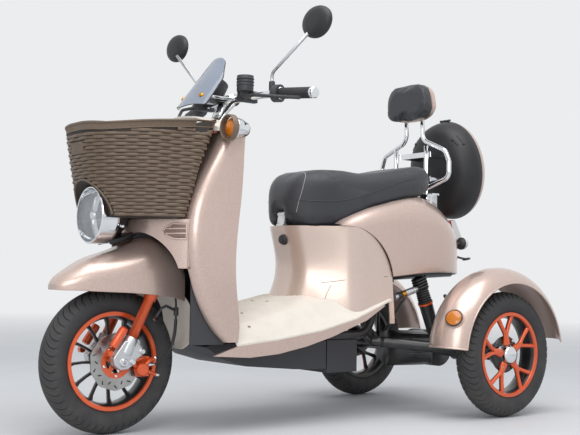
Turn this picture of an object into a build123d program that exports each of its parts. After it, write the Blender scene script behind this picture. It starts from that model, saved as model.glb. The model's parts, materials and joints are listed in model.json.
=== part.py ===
from build123d import *
from math import cos, radians, sin
import os

os.makedirs("parts", exist_ok=True)

# Electric three wheeled scooter, in millimetres.
# +X is the vehicle's left, -Y its front, +Z up. The ground is Z = 0 and the
# origin lies under the middle of the whole machine. Heights are drawn for
# axles at AXLE_Z, and save() lifts all of it onto tyres of another size.

# Running gear
WHEELBASE = 1252
TRACK = 710
TYRE_R = 202.5
AXLE_Z = 202.5
TYRE_W = 83
RIM_R = 137.5
RIM_W = 66
RIM_WALL = 5
FLANGE_T = 2.5
FLANGE_H = 10
RAKE = 26.3
STEM_R = 15
HEAD_WALL = 9
RUN_GAP = 0.3
LEG_X = 75
LEG_R = 14
SLEEVE_R = 18
AXLE_R = 6
DISC_R = 80
DISC_T = 4

# Panels
WALL = 5
THIN = 4
TUBE_R = 8

# Body widths
SHIELD_W = 226
TUNNEL_W = 190
TUNNEL_TOP = 557
BASKET_W = 250
GUARD_TOP = TYRE_R + 79.5
GUARD_START = 84
GUARD_ARC = 165

# The overall length runs from the front tyre to the rear mudguards' ends
GUARD_REACH = GUARD_TOP * sin(radians(GUARD_ARC - GUARD_START))
REAR_AXLE_Y = (WHEELBASE + TYRE_R - GUARD_REACH) / 2

FRONT_AXLE_Y = REAR_AXLE_Y - WHEELBASE
LEAN = radians(RAKE)


def fy(distance):
    """Y of a place so far behind the front axle."""
    return FRONT_AXLE_Y + distance


def ry(distance):
    """Y of a place so far behind the rear axle."""
    return REAR_AXLE_Y + distance


def floor_y(distance):
    """Y of a place on the floor, drawn from the front axle, that keeps its share of the wheelbase."""
    return FRONT_AXLE_Y + distance * WHEELBASE / 1252


def on_stem(along, x=0.0, ahead=0.0):
    """A place along the steering axis, measured up from the front axle."""
    y = FRONT_AXLE_Y + along * sin(LEAN) - ahead * cos(LEAN)
    z = AXLE_Z + along * cos(LEAN) + ahead * sin(LEAN)
    return (x, y, z)


def outline(points, radius):
    """A flat closed outline with rounded corners."""
    return make_face(FilletPolyline(*points, radius=radius, close=True))


def level(face, z):
    """Lay a flat outline at a height."""
    return Pos(0, 0, z) * face


def across(face, y):
    """Stand an outline of X and Z at a place along the vehicle."""
    return Plane(origin=(0, y, 0), x_dir=(1, 0, 0), z_dir=(0, -1, 0)) * face


def upright(face, x):
    """Stand an outline of Y and Z at a place across the vehicle."""
    return Plane(origin=(x, 0, 0), x_dir=(0, 1, 0), z_dir=(1, 0, 0)) * face


def slab(face, low, high):
    """A plate with a side outline of Y and Z between two X places."""
    return extrude(upright(face, low), amount=high - low, dir=(1, 0, 0))


def rod(start, end, radius):
    """A straight round bar between two places."""
    line = Line(start, end)
    return extrude(Plane(origin=start, z_dir=line % 0) * Circle(radius), amount=line.length)


def pipe(points, bends, radius):
    """A bent round bar of straight runs and arcs."""
    path = FilletPolyline(*points, radius=bends)
    return sweep(Plane(origin=path @ 0, z_dir=path % 0) * Circle(radius), path=path)


def spun(points, x, y, z):
    """A wheel-like solid: an outline of X and radius turned about a cross axle."""
    face = make_face(Polyline(*points, close=True))
    place = Plane(origin=(x, y, z), x_dir=(1, 0, 0), z_dir=(0, -1, 0))
    return revolve(place * face, axis=Axis((x, y, z), (1, 0, 0)))


def turned(points, x, y, z):
    """A lamp-like solid: an outline of distance back and radius about an axis along Y."""
    face = make_face(Polyline(*points, close=True))
    place = Plane(origin=(x, y, z), x_dir=(0, 1, 0), z_dir=(1, 0, 0))
    return revolve(place * face, axis=Axis((x, y, z), (0, 1, 0)))


def box(low, high):
    """A plain block between two corners."""
    size = [b - a for a, b in zip(low, high)]
    return Pos(*low) * Box(*size, align=(Align.MIN, Align.MIN, Align.MIN))


def both(piece):
    """A left piece with its mirror image on the right."""
    return piece + mirror(piece, about=Plane.YZ)


def save(name, piece):
    export_step(Pos(0, 0, TYRE_R - AXLE_Z) * piece, f"parts/{name}.step")


# Wheels

def tyre(x, y):
    """A scooter tyre with a round tread, hollow down to its bead."""
    half = TYRE_W / 2
    bead = RIM_W / 2 - FLANGE_T - RUN_GAP
    foot = RIM_R - FLANGE_H
    lip = RIM_R + 1
    side = (TYRE_R + foot) / 2
    line = [
        Line((-bead, foot), (-bead, lip)),
        ThreePointArc((-bead, lip), (-half, side + 4), (-half + 8, TYRE_R - 16)),
        ThreePointArc((-half + 8, TYRE_R - 16), (0, TYRE_R), (half - 8, TYRE_R - 16)),
        ThreePointArc((half - 8, TYRE_R - 16), (half, side + 4), (bead, lip)),
        Line((bead, lip), (bead, foot)),
        Line((bead, foot), (-bead, foot)),
    ]
    place = Plane(origin=(x, y, AXLE_Z), x_dir=(1, 0, 0), z_dir=(0, -1, 0))
    return revolve(place * make_face(line), axis=Axis((x, y, AXLE_Z), (1, 0, 0)))


def rim_barrel(x, y):
    """The rim's hoop, with a flange each side of the tyre's bead."""
    seat = RIM_R - FLANGE_H - RUN_GAP
    half = RIM_W / 2
    hoop = spun([(-half, seat - RIM_WALL), (half, seat - RIM_WALL), (half, RIM_R),
                 (half - FLANGE_T, RIM_R), (half - FLANGE_T, seat), (-half + FLANGE_T, seat),
                 (-half + FLANGE_T, RIM_R), (-half, RIM_R)], x, y, AXLE_Z)
    return hoop


def spoke(x, y, angle, inner, outer, width, depth, shift=0.0):
    """One spoke from hub to hoop, at an angle about the axle."""
    bar = box((x - depth / 2, shift - width / 2, inner), (x + depth / 2, shift + width / 2, outer))
    return Pos(0, y, AXLE_Z) * (Rot(angle, 0, 0) * bar)


HUB_R = 34
SPOKE_OUT = RIM_R - 13


def front_rim():
    """Hoop, hub and twelve slim blades."""
    y = FRONT_AXLE_Y
    rim = rim_barrel(0, y)
    rim += spun([(-26, AXLE_R + 0.1), (26, AXLE_R + 0.1), (26, HUB_R), (-26, HUB_R)], 0, y, AXLE_Z)
    for index in range(12):
        rim += spoke(0, y, index * 30, HUB_R - 3, SPOKE_OUT, 7, 22)
    return rim


def rear_rim(side):
    """Hoop, hub and five forked spokes."""
    x = side * TRACK / 2
    face = x + side * 8
    rim = rim_barrel(x, REAR_AXLE_Y)
    rim += spun([(-30, REAR_SHAFT_R + 0.1), (30, REAR_SHAFT_R + 0.1), (30, HUB_R + 4),
                 (-30, HUB_R + 4)], x, REAR_AXLE_Y, AXLE_Z)
    for index in range(5):
        angle = index * 72
        rim += spoke(face, REAR_AXLE_Y, angle - 13, HUB_R, SPOKE_OUT, 13, 26)
        rim += spoke(face, REAR_AXLE_Y, angle + 13, HUB_R, SPOKE_OUT, 13, 26)
    return rim


REAR_SHAFT_R = 10

save("front_tyre", tyre(0, FRONT_AXLE_Y))
save("front_rim", front_rim())

disc_x = 47
disc = spun([(-DISC_T / 2, 44), (DISC_T / 2, 44), (DISC_T / 2, DISC_R), (-DISC_T / 2, DISC_R)],
            disc_x, FRONT_AXLE_Y, AXLE_Z)
carrier_in = 26 - disc_x
carrier = spun([(carrier_in, AXLE_R + 0.1), (DISC_T / 2, AXLE_R + 0.1), (DISC_T / 2, 22),
                (carrier_in, 22)], disc_x, FRONT_AXLE_Y, AXLE_Z)
for index in range(5):
    carrier += spoke(disc_x, FRONT_AXLE_Y, index * 72, 18, 48, 14, DISC_T)
save("brake_disc", disc + carrier)

for side, name in ((1, "left"), (-1, "right")):
    save(f"rear_tyre_{name}", tyre(side * TRACK / 2, REAR_AXLE_Y))
    save(f"rear_rim_{name}", rear_rim(side))

# Fork and what turns with it

FOOT_R = 19
CROWN_AT = 280
CROWN_T = 24
SLEEVE_LOW = 190
HEAD_LOW = 437
HEAD_HIGH = 735
STEM_TOP = 790

stem = rod(on_stem(CROWN_AT - CROWN_T / 2), on_stem(STEM_TOP), STEM_R)
crown = Plane(origin=on_stem(CROWN_AT - CROWN_T / 2), x_dir=(1, 0, 0),
              z_dir=(0, sin(LEAN), cos(LEAN)))
fork = stem + extrude(crown * RectangleRounded(2 * LEG_X + 32, 40, 15), amount=CROWN_T)
for side in (1, -1):
    x = side * LEG_X
    fork += rod(on_stem(FOOT_R + RUN_GAP, x), on_stem(CROWN_AT, x), LEG_R)
    fork += rod(on_stem(SLEEVE_LOW, x), on_stem(CROWN_AT, x), SLEEVE_R)
save("fork", fork)

# The handlebar's middle and the left reservoir's place across it
BAR_AT = 862
bar_y = on_stem(BAR_AT)[1]
bar_z = on_stem(BAR_AT)[2]
perch_x = 115
PERCH_HALF = 9

# The brake hose from the caliper through the fender and up beside the stem to the left reservoir
HOSE_R = 3
HOSE_OFF = 32.5
CALIPER_BACK = 96
hose_line = [(57, fy(CALIPER_BACK + 0.1), 192), (57, fy(128), 192), (75, fy(160), 232), (75, fy(173), 300),
             (75, fy(172), 380), (60, fy(160), 425), on_stem(312, 38, -30), on_stem(350, HOSE_OFF),
             on_stem(425, HOSE_OFF + 2), on_stem(505, HOSE_OFF + 3), on_stem(585, HOSE_OFF + 3),
             on_stem(665, HOSE_OFF + 2), on_stem(742, HOSE_OFF), on_stem(778, 25, 3), on_stem(812, 27, 6),
             (60, bar_y - 24, bar_z - 12), (perch_x - PERCH_HALF - 0.1, bar_y - 24, bar_z - 12)]


def cord_bends(points):
    """A radius for each corner of a route, as large as the shorter run beside it allows."""
    radii = []
    for before, corner, after in zip(points, points[1:], points[2:]):
        run_in, run_out = Vector(corner) - Vector(before), Vector(after) - Vector(corner)
        half_turn = radians(run_in.get_angle(run_out)) / 2
        radii.append(0.45 * min(run_in.length, run_out.length) * cos(half_turn) / sin(half_turn))
    return radii


HOSE_BENDS = cord_bends(hose_line)
print("brake hose radii", [round(radius) for radius in HOSE_BENDS])
hose = pipe(hose_line, HOSE_BENDS, HOSE_R)
save("brake_hose", hose)


def hose_room(start, end, shift, radius):
    """The room that the hose sweeps beside the stem as it steers."""
    return rod(on_stem(start, shift), on_stem(end, shift), radius)


# The axle and its two clamps at the legs' feet
axle = rod((-LEG_X - 24, FRONT_AXLE_Y, AXLE_Z), (LEG_X + 24, FRONT_AXLE_Y, AXLE_Z), AXLE_R)
for side in (1, -1):
    foot = rod((side * (LEG_X - 15), FRONT_AXLE_Y, AXLE_Z),
               (side * (LEG_X + 15), FRONT_AXLE_Y, AXLE_Z), FOOT_R)
    axle += foot
save("front_axle", axle)

caliper = box((disc_x - 14, fy(56), 160), (disc_x + 16, fy(CALIPER_BACK), 215))
caliper += box((disc_x + 15, fy(19.3), 192), (disc_x + 23, fy(80), 212))
caliper -= box((disc_x - DISC_T / 2 - 3, fy(50), 150), (disc_x + DISC_T / 2 + 3, fy(84), 230))
save("brake_caliper", caliper)


def fender_shell(rows, wall):
    """A lofted mudguard: rows of place, half width, lower edge, top and corner."""
    outer = []
    inner = []
    for place, half, low, top, corner in rows:
        outer.append(across(outline([(-half, low), (half, low), (half, top), (-half, top)],
                                    [2, 2, corner, corner]), fy(place)))
    for place, half, low, top, corner in rows:
        half, top, corner = half - wall, top - wall, corner - wall
        inner.append(across(outline([(-half, low - 3), (half, low - 3), (half, top), (-half, top)],
                                    [2, 2, corner, corner]), fy(place)))
    inner[0] = Pos(0, wall, 0) * inner[0]
    inner[-1] = Pos(0, 2, 0) * inner[-1]
    return loft(outer) - loft(inner)


# distance behind the front axle, half width, lower edge, top, top corner radius
FENDER_ROWS = [
    (-174, 24, 399, 420, 14),
    (-150, 46, 398, 444, 34),
    (-108, 66, 397, 470, 50),
    (-50, 84, 394.5, 496, 66),
    (20, 95, 392, 520, 76),
    (78, 98, 388, 544, 86),
    (120, 98, 384, 548, 88),
    (162, 96, 377, 536, 84),
    (190, 92, 368, 505, 80),
]
fender = fender_shell(FENDER_ROWS, THIN)
fender -= rod(on_stem(250), on_stem(450), STEM_R + RUN_GAP)
save("front_fender", fender - pipe(hose_line[5:9], HOSE_BENDS[5:7], HOSE_R + RUN_GAP))

# The mudflap hangs from a plate in the fender's end and curves down behind the tyre
FLAP_HALF = 82
FLAP_LOW = 230
flap_y = fy(TYRE_R + 19)
flap_line = ThreePointArc((flap_y - 36, 390), (flap_y + 4, 310), (flap_y - 14, FLAP_LOW))
flap_back = ThreePointArc((flap_y - 36 + THIN, 390), (flap_y + 4 + THIN, 310), (flap_y - 14 + THIN, FLAP_LOW))
flap_face = make_face([flap_line, Line(flap_line @ 1, flap_back @ 1), flap_back,
                       Line(flap_back @ 0, flap_line @ 0)])
flap_front = across(outline([(-FLAP_HALF, FLAP_LOW - 1), (FLAP_HALF, FLAP_LOW - 1), (FLAP_HALF, 400),
                             (-FLAP_HALF, 400)], [44, 44, 2, 2]), flap_y - 60)
flap = slab(flap_face, -FLAP_HALF, FLAP_HALF) & extrude(flap_front, amount=100, dir=(0, 1, 0))
FENDER_END = FENDER_ROWS[-1]
flap_w = FENDER_END[1] - THIN - RUN_GAP
flap_top = FENDER_END[3] - THIN - RUN_GAP
flap_head = across(outline([(-flap_w, 374), (flap_w, 374), (flap_w, flap_top), (-flap_w, flap_top)],
                           [4, 4, flap_w - 12, flap_w - 12]), flap_y - 36)
save("mudflap", flap + extrude(flap_head, amount=THIN, dir=(0, 1, 0)))

# Handlebar, risers and controls
BAR_R = 11
GRIP_R = 16.5
bar_half = [(0, bar_y, bar_z), (105, bar_y, bar_z), (200, bar_y + 34, bar_z + 4),
            (327, bar_y + 72, bar_z - 5)]
bar_line = [(-x, y, z) for x, y, z in reversed(bar_half[1:])] + bar_half[1:]
BAR_BENDS = [60, 60, 60, 60]
bar = pipe(bar_line, BAR_BENDS, BAR_R)
clamp = rod(on_stem(STEM_TOP), on_stem(BAR_AT - 18), 20) + rod((-45, bar_y, bar_z), (45, bar_y, bar_z), 19)
save("handlebar", bar + clamp)


def along_bar(start, end):
    """Two places on the left bar end, by their X."""
    (x0, y0, z0), (x1, y1, z1) = bar_half[2], bar_half[3]
    places = []
    for x in (start, end):
        share = (x - x0) / (x1 - x0)
        places.append((x, y0 + share * (y1 - y0), z0 + share * (z1 - z0)))
    return places


grip_low, grip_high = along_bar(222, 333)
grip_cut = rod(*along_bar(200, 329), BAR_R + 0.05)
grip = rod(grip_low, grip_high, GRIP_R) - grip_cut
save("grips", both(grip))

switch_low, switch_high = along_bar(200, 221)
switch = rod(switch_low, switch_high, 26) - rod(*along_bar(195, 325), BAR_R + 0.05)
save("switch_housings", both(switch))

# Brake reservoirs with their clamps, and the levers
RESERVOIR_R = 25
perch = rod((perch_x, bar_y - 12, bar_z + BAR_R + 4), (perch_x, bar_y - 12, bar_z + 62), RESERVOIR_R)
perch += box((perch_x - PERCH_HALF, bar_y - 34, bar_z - 16), (perch_x + PERCH_HALF, bar_y + 28, bar_z + 18))
perch -= pipe(bar_line, BAR_BENDS, BAR_R + 0.05)
save("reservoirs", both(perch))

lever = pipe([(perch_x + 10.3, bar_y - 28, bar_z - 6), (perch_x + 75, bar_y - 40, bar_z - 8),
              (331, bar_y + 24, bar_z - 26)], [40], 5)
save("brake_levers", both(lever))


# Mirrors: oval heads on bent stems, clamped on the bar beside the reservoirs
MIRROR_X = 190
# distance behind the stem, half width, half height
MIRROR_ROWS = [(-2, 26, 18), (4, 48, 36), (14, 60, 45), (24, 60, 45)]
mirrors = None
for side, head_z in ((1, 1162), (-1, 1209)):
    root_y = along_bar(MIRROR_X, MIRROR_X)[0][1]
    stem_path = [(side * MIRROR_X, root_y, bar_z + 25), (side * MIRROR_X, root_y, bar_z + 66),
                 (side * 352, root_y + 4, head_z - 30)]
    foot = rod((side * MIRROR_X, root_y, bar_z + BAR_R + 4), (side * MIRROR_X, root_y, bar_z + 40), 9)
    rings = [Plane(origin=(side * 373, root_y + back, head_z), x_dir=(1, 0, 0), z_dir=(0, -1, 0))
             * Ellipse(half, rise) for back, half, rise in MIRROR_ROWS]
    mirror_piece = pipe(stem_path, [22], 5) + foot + loft(rings)
    mirrors = mirror_piece if mirrors is None else mirrors + mirror_piece
save("mirrors", mirrors)

# Speedometer ahead of the bar
DIAL_R = 38
dial_ahead = 19.7 + DIAL_R
dial = rod(on_stem(842, 0, dial_ahead), on_stem(896, 0, dial_ahead), DIAL_R)
save("speedometer", dial)

# Curved windscreen on two rods
SCREEN_LEAN = radians(38)
SCREEN_R = 120
SCREEN_T = 3
screen_foot = (0, fy(220), 944)
outward = (0, -cos(SCREEN_LEAN), sin(SCREEN_LEAN))
upward = (0, sin(SCREEN_LEAN), cos(SCREEN_LEAN))
middle = tuple(a - b * SCREEN_R for a, b in zip(screen_foot, outward))
low_end = tuple(a - b * 20 for a, b in zip(middle, upward))
high_end = tuple(a + b * 240 for a, b in zip(middle, upward))
screen_tube = rod(low_end, high_end, SCREEN_R) - rod(low_end, high_end, SCREEN_R - SCREEN_T)
screen_face = outline([(0, -6), (77, 22), (72, 130), (40, 204), (-40, 204), (-72, 130), (-77, 22)],
                      [30, 12, 60, 38, 38, 60, 12])
screen_plane = Plane(origin=screen_foot, x_dir=(1, 0, 0), z_dir=outward)
screen = screen_tube & extrude(screen_plane * screen_face, amount=-80)
save("windscreen", screen)
screen_rods = both(rod((50, fy(200), bar_z), (50, bar_y - 11.3, bar_z), 5))
save("screen_rods", screen_rods & rod(low_end, high_end, SCREEN_R - SCREEN_T - RUN_GAP))

# The basket's form, which the shield and the crown make room for
BASKET_Z = 597.3
NOSE_TURN = radians(50)
SIDE_TURN = radians(40)
BOW_SHARE = 0.75
# height, half width behind, rear, radius of the round front, front
BASKET_ROWS = [
    (BASKET_Z, 212, 127, 164, -74),
    (740, 222, 158, 180, -100),
    (832, 228, 190, 189, -116),
    (885, BASKET_W, 206, 195, -123),
]


def basket_loft(wall, drop):
    """The basket's outer form, or its inside."""
    faces = []
    for z, rear_half, rear, bow, front in BASKET_ROWS:
        bow = bow - wall
        front = front + wall
        nose_half = bow * sin(NOSE_TURN / 2) / cos(NOSE_TURN / 2)
        side_y = fy(front + bow - bow * sin(SIDE_TURN / 2) / cos(SIDE_TURN / 2))
        left = [(nose_half, fy(front)), (bow, side_y), (rear_half - wall, fy(rear - wall))]
        right = [(-x, y) for x, y in reversed(left)]
        bend = BOW_SHARE * bow
        faces.append(level(outline(right + left, [24, bend, bend, bend, bend, 24]), z + drop))
    return loft(faces, ruled=True)


# Shield: outer shell, inner panel, crown and the wheel tunnel
NECK_R = 15
# height, half width, rear edge and front edge behind the front axle, front corner radius
SHIELD_ROWS = [
    (258, SHIELD_W - 10, 290, 252, 16),
    (400, SHIELD_W, 278, 151, 40),
    (510, SHIELD_W + 2, 272, 126, 40),
    (640, SHIELD_W, 285, 137, 40),
    (740, SHIELD_W - 2, 294, 180, 40),
    (850, SHIELD_W - 4, 302, 240, 36),
]


def shield_loft(wall, rear_extra):
    """The shield's outer form, or its hollow when a wall is given."""
    faces = []
    for z, half, rear, front, corner in SHIELD_ROWS:
        w = half - wall
        f = fy(front + wall)
        r = fy(rear + rear_extra)
        corner = max(corner - wall, 4)
        faces.append(level(outline([(-w, r), (-w, f), (w, f), (w, r)], [2, corner, corner, 2]), z))
    return loft(faces)


def arch(half, top, corner, start, end):
    """A tunnel along the vehicle with a round-shouldered roof."""
    face = outline([(-half, 60), (half, 60), (half, top), (-half, top)], [2, 2, corner, corner])
    return extrude(across(face, start), amount=end - start, dir=(0, 1, 0))


shield = shield_loft(0, 0) - shield_loft(WALL, 20)
shield -= arch(TUNNEL_W + 6, TUNNEL_TOP + 10, 132, fy(60), fy(266))
SIGNAL_R = 31
POCKET_GAP = 0.8
signal_x = 240
signal_y = fy(222)
signal_z = 856


HOLDER_FRONT = 20.3


def holder_form(grow):
    """A front signal's housing, or its pocket with the room in front of it."""
    room = [(-90, 0), (-90, SIGNAL_R + grow)] if grow else [(HOLDER_FRONT, 0)]
    return turned(room + [(HOLDER_FRONT, SIGNAL_R + grow), (44, SIGNAL_R - 3 + grow), (66, 20 + grow),
                          (76 + grow, 0)], signal_x, signal_y, signal_z)


pocket = both(holder_form(POCKET_GAP))
basket_room = basket_loft(-RUN_GAP, -RUN_GAP)
save("leg_shield", shield - pocket - basket_room)

panel_rows = zip(SHIELD_ROWS, [(285, 306), (268, 306), (262, 306), (276, 308), (284, 330), (293, 372)])
panel_faces = []
for (z, half, rear, front, corner), (side_y, mid_y) in panel_rows:
    half = half - WALL - 2 * RUN_GAP
    near = ThreePointArc((-half, fy(side_y)), (0, fy(mid_y)), (half, fy(side_y)))
    far = ThreePointArc((-half, fy(side_y - THIN)), (0, fy(mid_y - THIN)), (half, fy(side_y - THIN)))
    face = make_face([near, Line(near @ 1, far @ 1), far, Line(far @ 0, near @ 0)])
    panel_faces.append(level(face, z))
neck_notch = box((-NECK_R - 0.6, fy(250), 200), (NECK_R + 0.6, fy(330), 292))
save("inner_panel", loft(panel_faces) - neck_notch)

CROWN_R = 420
CROWN_TOP = 912


def crown_block(wall):
    """The round top of the shield, or its hollow."""
    half = SHIELD_W - 4 - wall
    front = fy(206 + wall)
    side_y = fy(298 - wall)
    face = make_face([
        Line((-half, side_y), (-half, front + 66)),
        ThreePointArc((-half, front + 66), (-half + 19, front + 19), (-half + 66, front)),
        Line((-half + 66, front), (half - 66, front)),
        ThreePointArc((half - 66, front), (half - 19, front + 19), (half, front + 66)),
        Line((half, front + 66), (half, side_y)),
        ThreePointArc((half, side_y), (0, fy(378 - wall)), (-half, side_y)),
    ])
    block = extrude(level(face, 850.4 - wall / 10), amount=80)
    ball = Pos(0, fy(250), CROWN_TOP - CROWN_R) * Sphere(CROWN_R - wall)
    return block & ball


crown_shell = crown_block(0) - crown_block(WALL)
crown_shell -= rod(on_stem(640), on_stem(800), 30)
crown_shell -= hose_room(640, 800, 10, 29.5)
save("shield_crown", crown_shell - pocket - basket_room)

# Front signals
lens = turned([(0, 0), (6, 18), (14, 27), (20, SIGNAL_R - 1), (20, 0)], signal_x, signal_y, signal_z)
save("front_signal_lenses", both(lens))
save("front_signals", both(holder_form(0)))

# Nose panel below the basket
def nose_form(wall, low, high):
    """The nose's round front with straight sides back into the shield."""
    half = 204 - wall
    bow = ThreePointArc((-half, fy(124)), (0, fy(41 + wall)), (half, fy(124)))
    sides = [Line(bow @ 1, (half, fy(190))), Line((half, fy(190)), (-half, fy(190))),
             Line((-half, fy(190)), bow @ 0)]
    return extrude(level(make_face([bow] + sides), low), amount=high - low)


NOSE_LOW = 462
nose = nose_form(0, NOSE_LOW, BASKET_Z - RUN_GAP)
nose -= nose_form(THIN, NOSE_LOW - 10, BASKET_Z - RUN_GAP - THIN)
nose -= arch(TUNNEL_W, TUNNEL_TOP + 5, 130, fy(0), fy(200))
nose -= shield_loft(-RUN_GAP, 60)
save("nose_panel", nose)

# Wheel tunnel
tunnel = arch(TUNNEL_W + 4, TUNNEL_TOP + 22, 132, fy(146), fy(258))
tunnel -= arch(TUNNEL_W, TUNNEL_TOP + 18, 130, fy(130), fy(254))
tunnel -= box((-300, fy(100), 0), (300, fy(300), 252))
tunnel -= rod(on_stem(300), on_stem(500), STEM_R + 12)
tunnel -= hose_room(300, 500, 14, 33)
save("wheel_tunnel", tunnel)

# Basket
LAMP_Z = 606
LAMP_R = 80
ARCH_R = LAMP_R + 9
BASKET_WALL = 6
basket_form = basket_loft(0, 0)
basket = basket_form - basket_loft(BASKET_WALL, BASKET_WALL)
lamp_bay = rod((0, fy(-170), LAMP_Z), (0, fy(50), LAMP_Z), ARCH_R + BASKET_WALL)
lamp_bay += box((-ARCH_R - BASKET_WALL, fy(-170), BASKET_Z), (ARCH_R + BASKET_WALL, fy(50), LAMP_Z))
basket += lamp_bay & basket_form
basket -= rod((0, fy(-180), LAMP_Z), (0, fy(44), LAMP_Z), ARCH_R)
# distance behind the front axle, height of the slanted rim
RIM_LINE = [(-190, 868), (-85, 854), (230, 880)]
rim_points = [(fy(a), z) for a, z in RIM_LINE] + [(fy(230), 960), (fy(-190), 960)]
basket -= slab(make_face(Polyline(*rim_points, close=True)), -300, 300)
save("basket", basket - pocket)

# Headlamp
lamp_shell = turned([(0, LAMP_R), (50, LAMP_R - 1), (56, LAMP_R - 10), (92, 46), (102, 30), (106.7, 28), (106.7, 0),
                     (100, 0), (96, 26), (84, 42), (52, LAMP_R - 16), (46, LAMP_R - 6), (0, LAMP_R - 5)],
                    0, fy(-66), LAMP_Z)
save("headlamp_bucket", lamp_shell)
lamp_lens = turned([(-12, 0), (-8, 38), (2, LAMP_R - 5.3), (6, LAMP_R - 5.3), (-4, 37), (-8, 0)],
                   0, fy(-66), LAMP_Z)
save("headlamp_lens", lamp_lens)

# Floor
# distance behind the front axle, edge height, middle height
FLOOR_ROWS = [(280, 250, 313), (432, 264, 346), (602, 288, 384), (742, 322, 392), (886, 378, 400)]
FLOOR_W = 213


def floor_loft(drop, base):
    """The floor's cross sections, as a board or down to a base."""
    faces = []
    for place, edge, middle_z in FLOOR_ROWS:
        top = [(-FLOOR_W, edge), (-FLOOR_W + 56, middle_z - 18), (-100, middle_z), (100, middle_z),
               (FLOOR_W - 56, middle_z - 18), (FLOOR_W, edge)]
        if base is None:
            under = [(x, z - drop) for x, z in reversed(top)]
        else:
            under = [(FLOOR_W, base), (60, base), (-60, base), (-FLOOR_W, base)]
            top = [(x, z + drop) for x, z in top]
        face = make_face(Polyline(*(top + under), close=True))
        faces.append(across(face, floor_y(place)))
    return loft(faces, ruled=True)


panel_line = ThreePointArc((-240, fy(285.6)), (0, fy(306.3)), (240, fy(285.6)))
panel_side = make_face([panel_line, Line(panel_line @ 1, (240, fy(200))), Line((240, fy(200)), (-240, fy(200))),
                        Line((-240, fy(200)), panel_line @ 0)])
save("floor_board", floor_loft(WALL, None) - extrude(level(panel_side, 200), amount=250))

skirt_top = [(296, 252), (432, 264), (602, 288), (742, 322), (852, 364)]
skirt_low = [(858, 357), (780, 312), (642, 265), (543, 239), (437, 220), (335, 213), (212, 221)]
skirt_points = [(floor_y(a), b - WALL - RUN_GAP) for a, b in skirt_top] + [(floor_y(a), b) for a, b in skirt_low]
skirt_face = make_face(Polyline(*skirt_points, close=True))
save("side_skirts", both(slab(skirt_face, FLOOR_W - 10, FLOOR_W)))

# Seat
# distance from the rear axle, half width, underside, top, upper corner radius
SEAT_ROWS = [
    (-668, 44, 636, 690, 22),
    (-650, 76, 618, 738, 36),
    (-612, 108, 604, 772, 48),
    (-560, 132, 603, 783, 54),
    (-510, 144, 604, 785, 56),
    (-425, 149, 645, 782, 52),
    (-320, 151, 684, 792, 46),
    (-230, 149, 706, 808, 44),
    (-150, 142, 724, 824, 44),
    (-108, 126, 738, 824, 38),
    (-92, 96, 756, 806, 20),
]


def seat_loft(grow, drop, height):
    """The saddle's form, or the room that it takes."""
    faces = []
    for place, half, low, top, corner in SEAT_ROWS:
        half = half + grow
        low = low - drop
        top = height if height else top
        radii = [10, 10, 8, 8] if height else [14, 14, corner, corner]
        faces.append(across(outline([(-half, low), (half, low), (half, top), (-half, top)], radii),
                            ry(place)))
    return loft(faces)


# The saddle turns on a pin in its nose, held by a bracket on the seat base
HINGE_Y = ry(-645)
HINGE_Z = 642
PIN_R = 4
HINGE_HALF = 18
SLOT_HALF = HINGE_HALF + 6
BASE_TOP = 604
saddle = seat_loft(0, 0, None)
saddle -= box((-SLOT_HALF, HINGE_Y - 55, BASE_TOP - 14), (SLOT_HALF, HINGE_Y + 12, HINGE_Z + 12))
saddle += rod((-SLOT_HALF - 2, HINGE_Y, HINGE_Z), (SLOT_HALF + 2, HINGE_Y, HINGE_Z), PIN_R)
save("saddle", saddle)
bracket_low = BASE_TOP + RUN_GAP
bracket = box((-HINGE_HALF, HINGE_Y - 12, bracket_low), (HINGE_HALF, HINGE_Y + 4, bracket_low + 5))
bracket += slab(make_face(Polyline((HINGE_Y - 9, bracket_low + 2), (HINGE_Y - 2, bracket_low + 2),
                                   (HINGE_Y + 4, HINGE_Z), (HINGE_Y - 4, HINGE_Z), close=True)),
                -HINGE_HALF, HINGE_HALF)
bracket += rod((-HINGE_HALF, HINGE_Y, HINGE_Z), (HINGE_HALF, HINGE_Y, HINGE_Z), 2 * PIN_R)
bracket -= rod((-HINGE_HALF - 1, HINGE_Y, HINGE_Z), (HINGE_HALF + 1, HINGE_Y, HINGE_Z), PIN_R + RUN_GAP)
save("saddle_bracket", bracket)
seat_room = seat_loft(2, 0.5, 900)

RACK_HALF = 92
RACK_Z = 734
RACK_T = 6

# Body below the seat: a base in front and a tail behind a curved seam
# height, front half width, rear half width, front
BASE_ROWS = [
    (300, 96, 206, -690),
    (390, 68, 198, -652),
    (450, 62, 193, -632),
    (520, 60, 190, -636),
    (615, 64, 186, -660),
]


def base_loft(wall):
    """The seat base's outer form, or its inside."""
    faces = []
    for z, front_half, rear_half, front in BASE_ROWS:
        f = front_half - wall
        r = rear_half - wall
        a = ry(front + wall)
        points = [(-r, ry(-330)), (-r, ry(-500)), (-f, a), (f, a), (r, ry(-500)), (r, ry(-330))]
        corner = min(1.5 * f, 100)
        faces.append(level(outline(points, [2, 90, corner, corner, 90, 2]), z))
    return loft(faces)


def seam(gap):
    """Everything in front of the curved seam between seat base and tail."""
    line = ThreePointArc((ry(-548 + gap), BASE_TOP + gap), (ry(-400 + gap), 553 + gap), (ry(-346 + gap), 440))
    edge = [line, Line(line @ 1, (ry(-346 + gap), 200)), Line((ry(-346 + gap), 200), (ry(-800), 200)),
            Line((ry(-800), 200), (ry(-800), BASE_TOP + gap)), Line((ry(-800), BASE_TOP + gap), line @ 0)]
    return slab(make_face(edge), -260, 260)


base_shell = (base_loft(0) - base_loft(THIN)) & seam(0)
base_shell -= floor_loft(RUN_GAP, 200)
save("seat_base", base_shell - seat_room)

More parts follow.
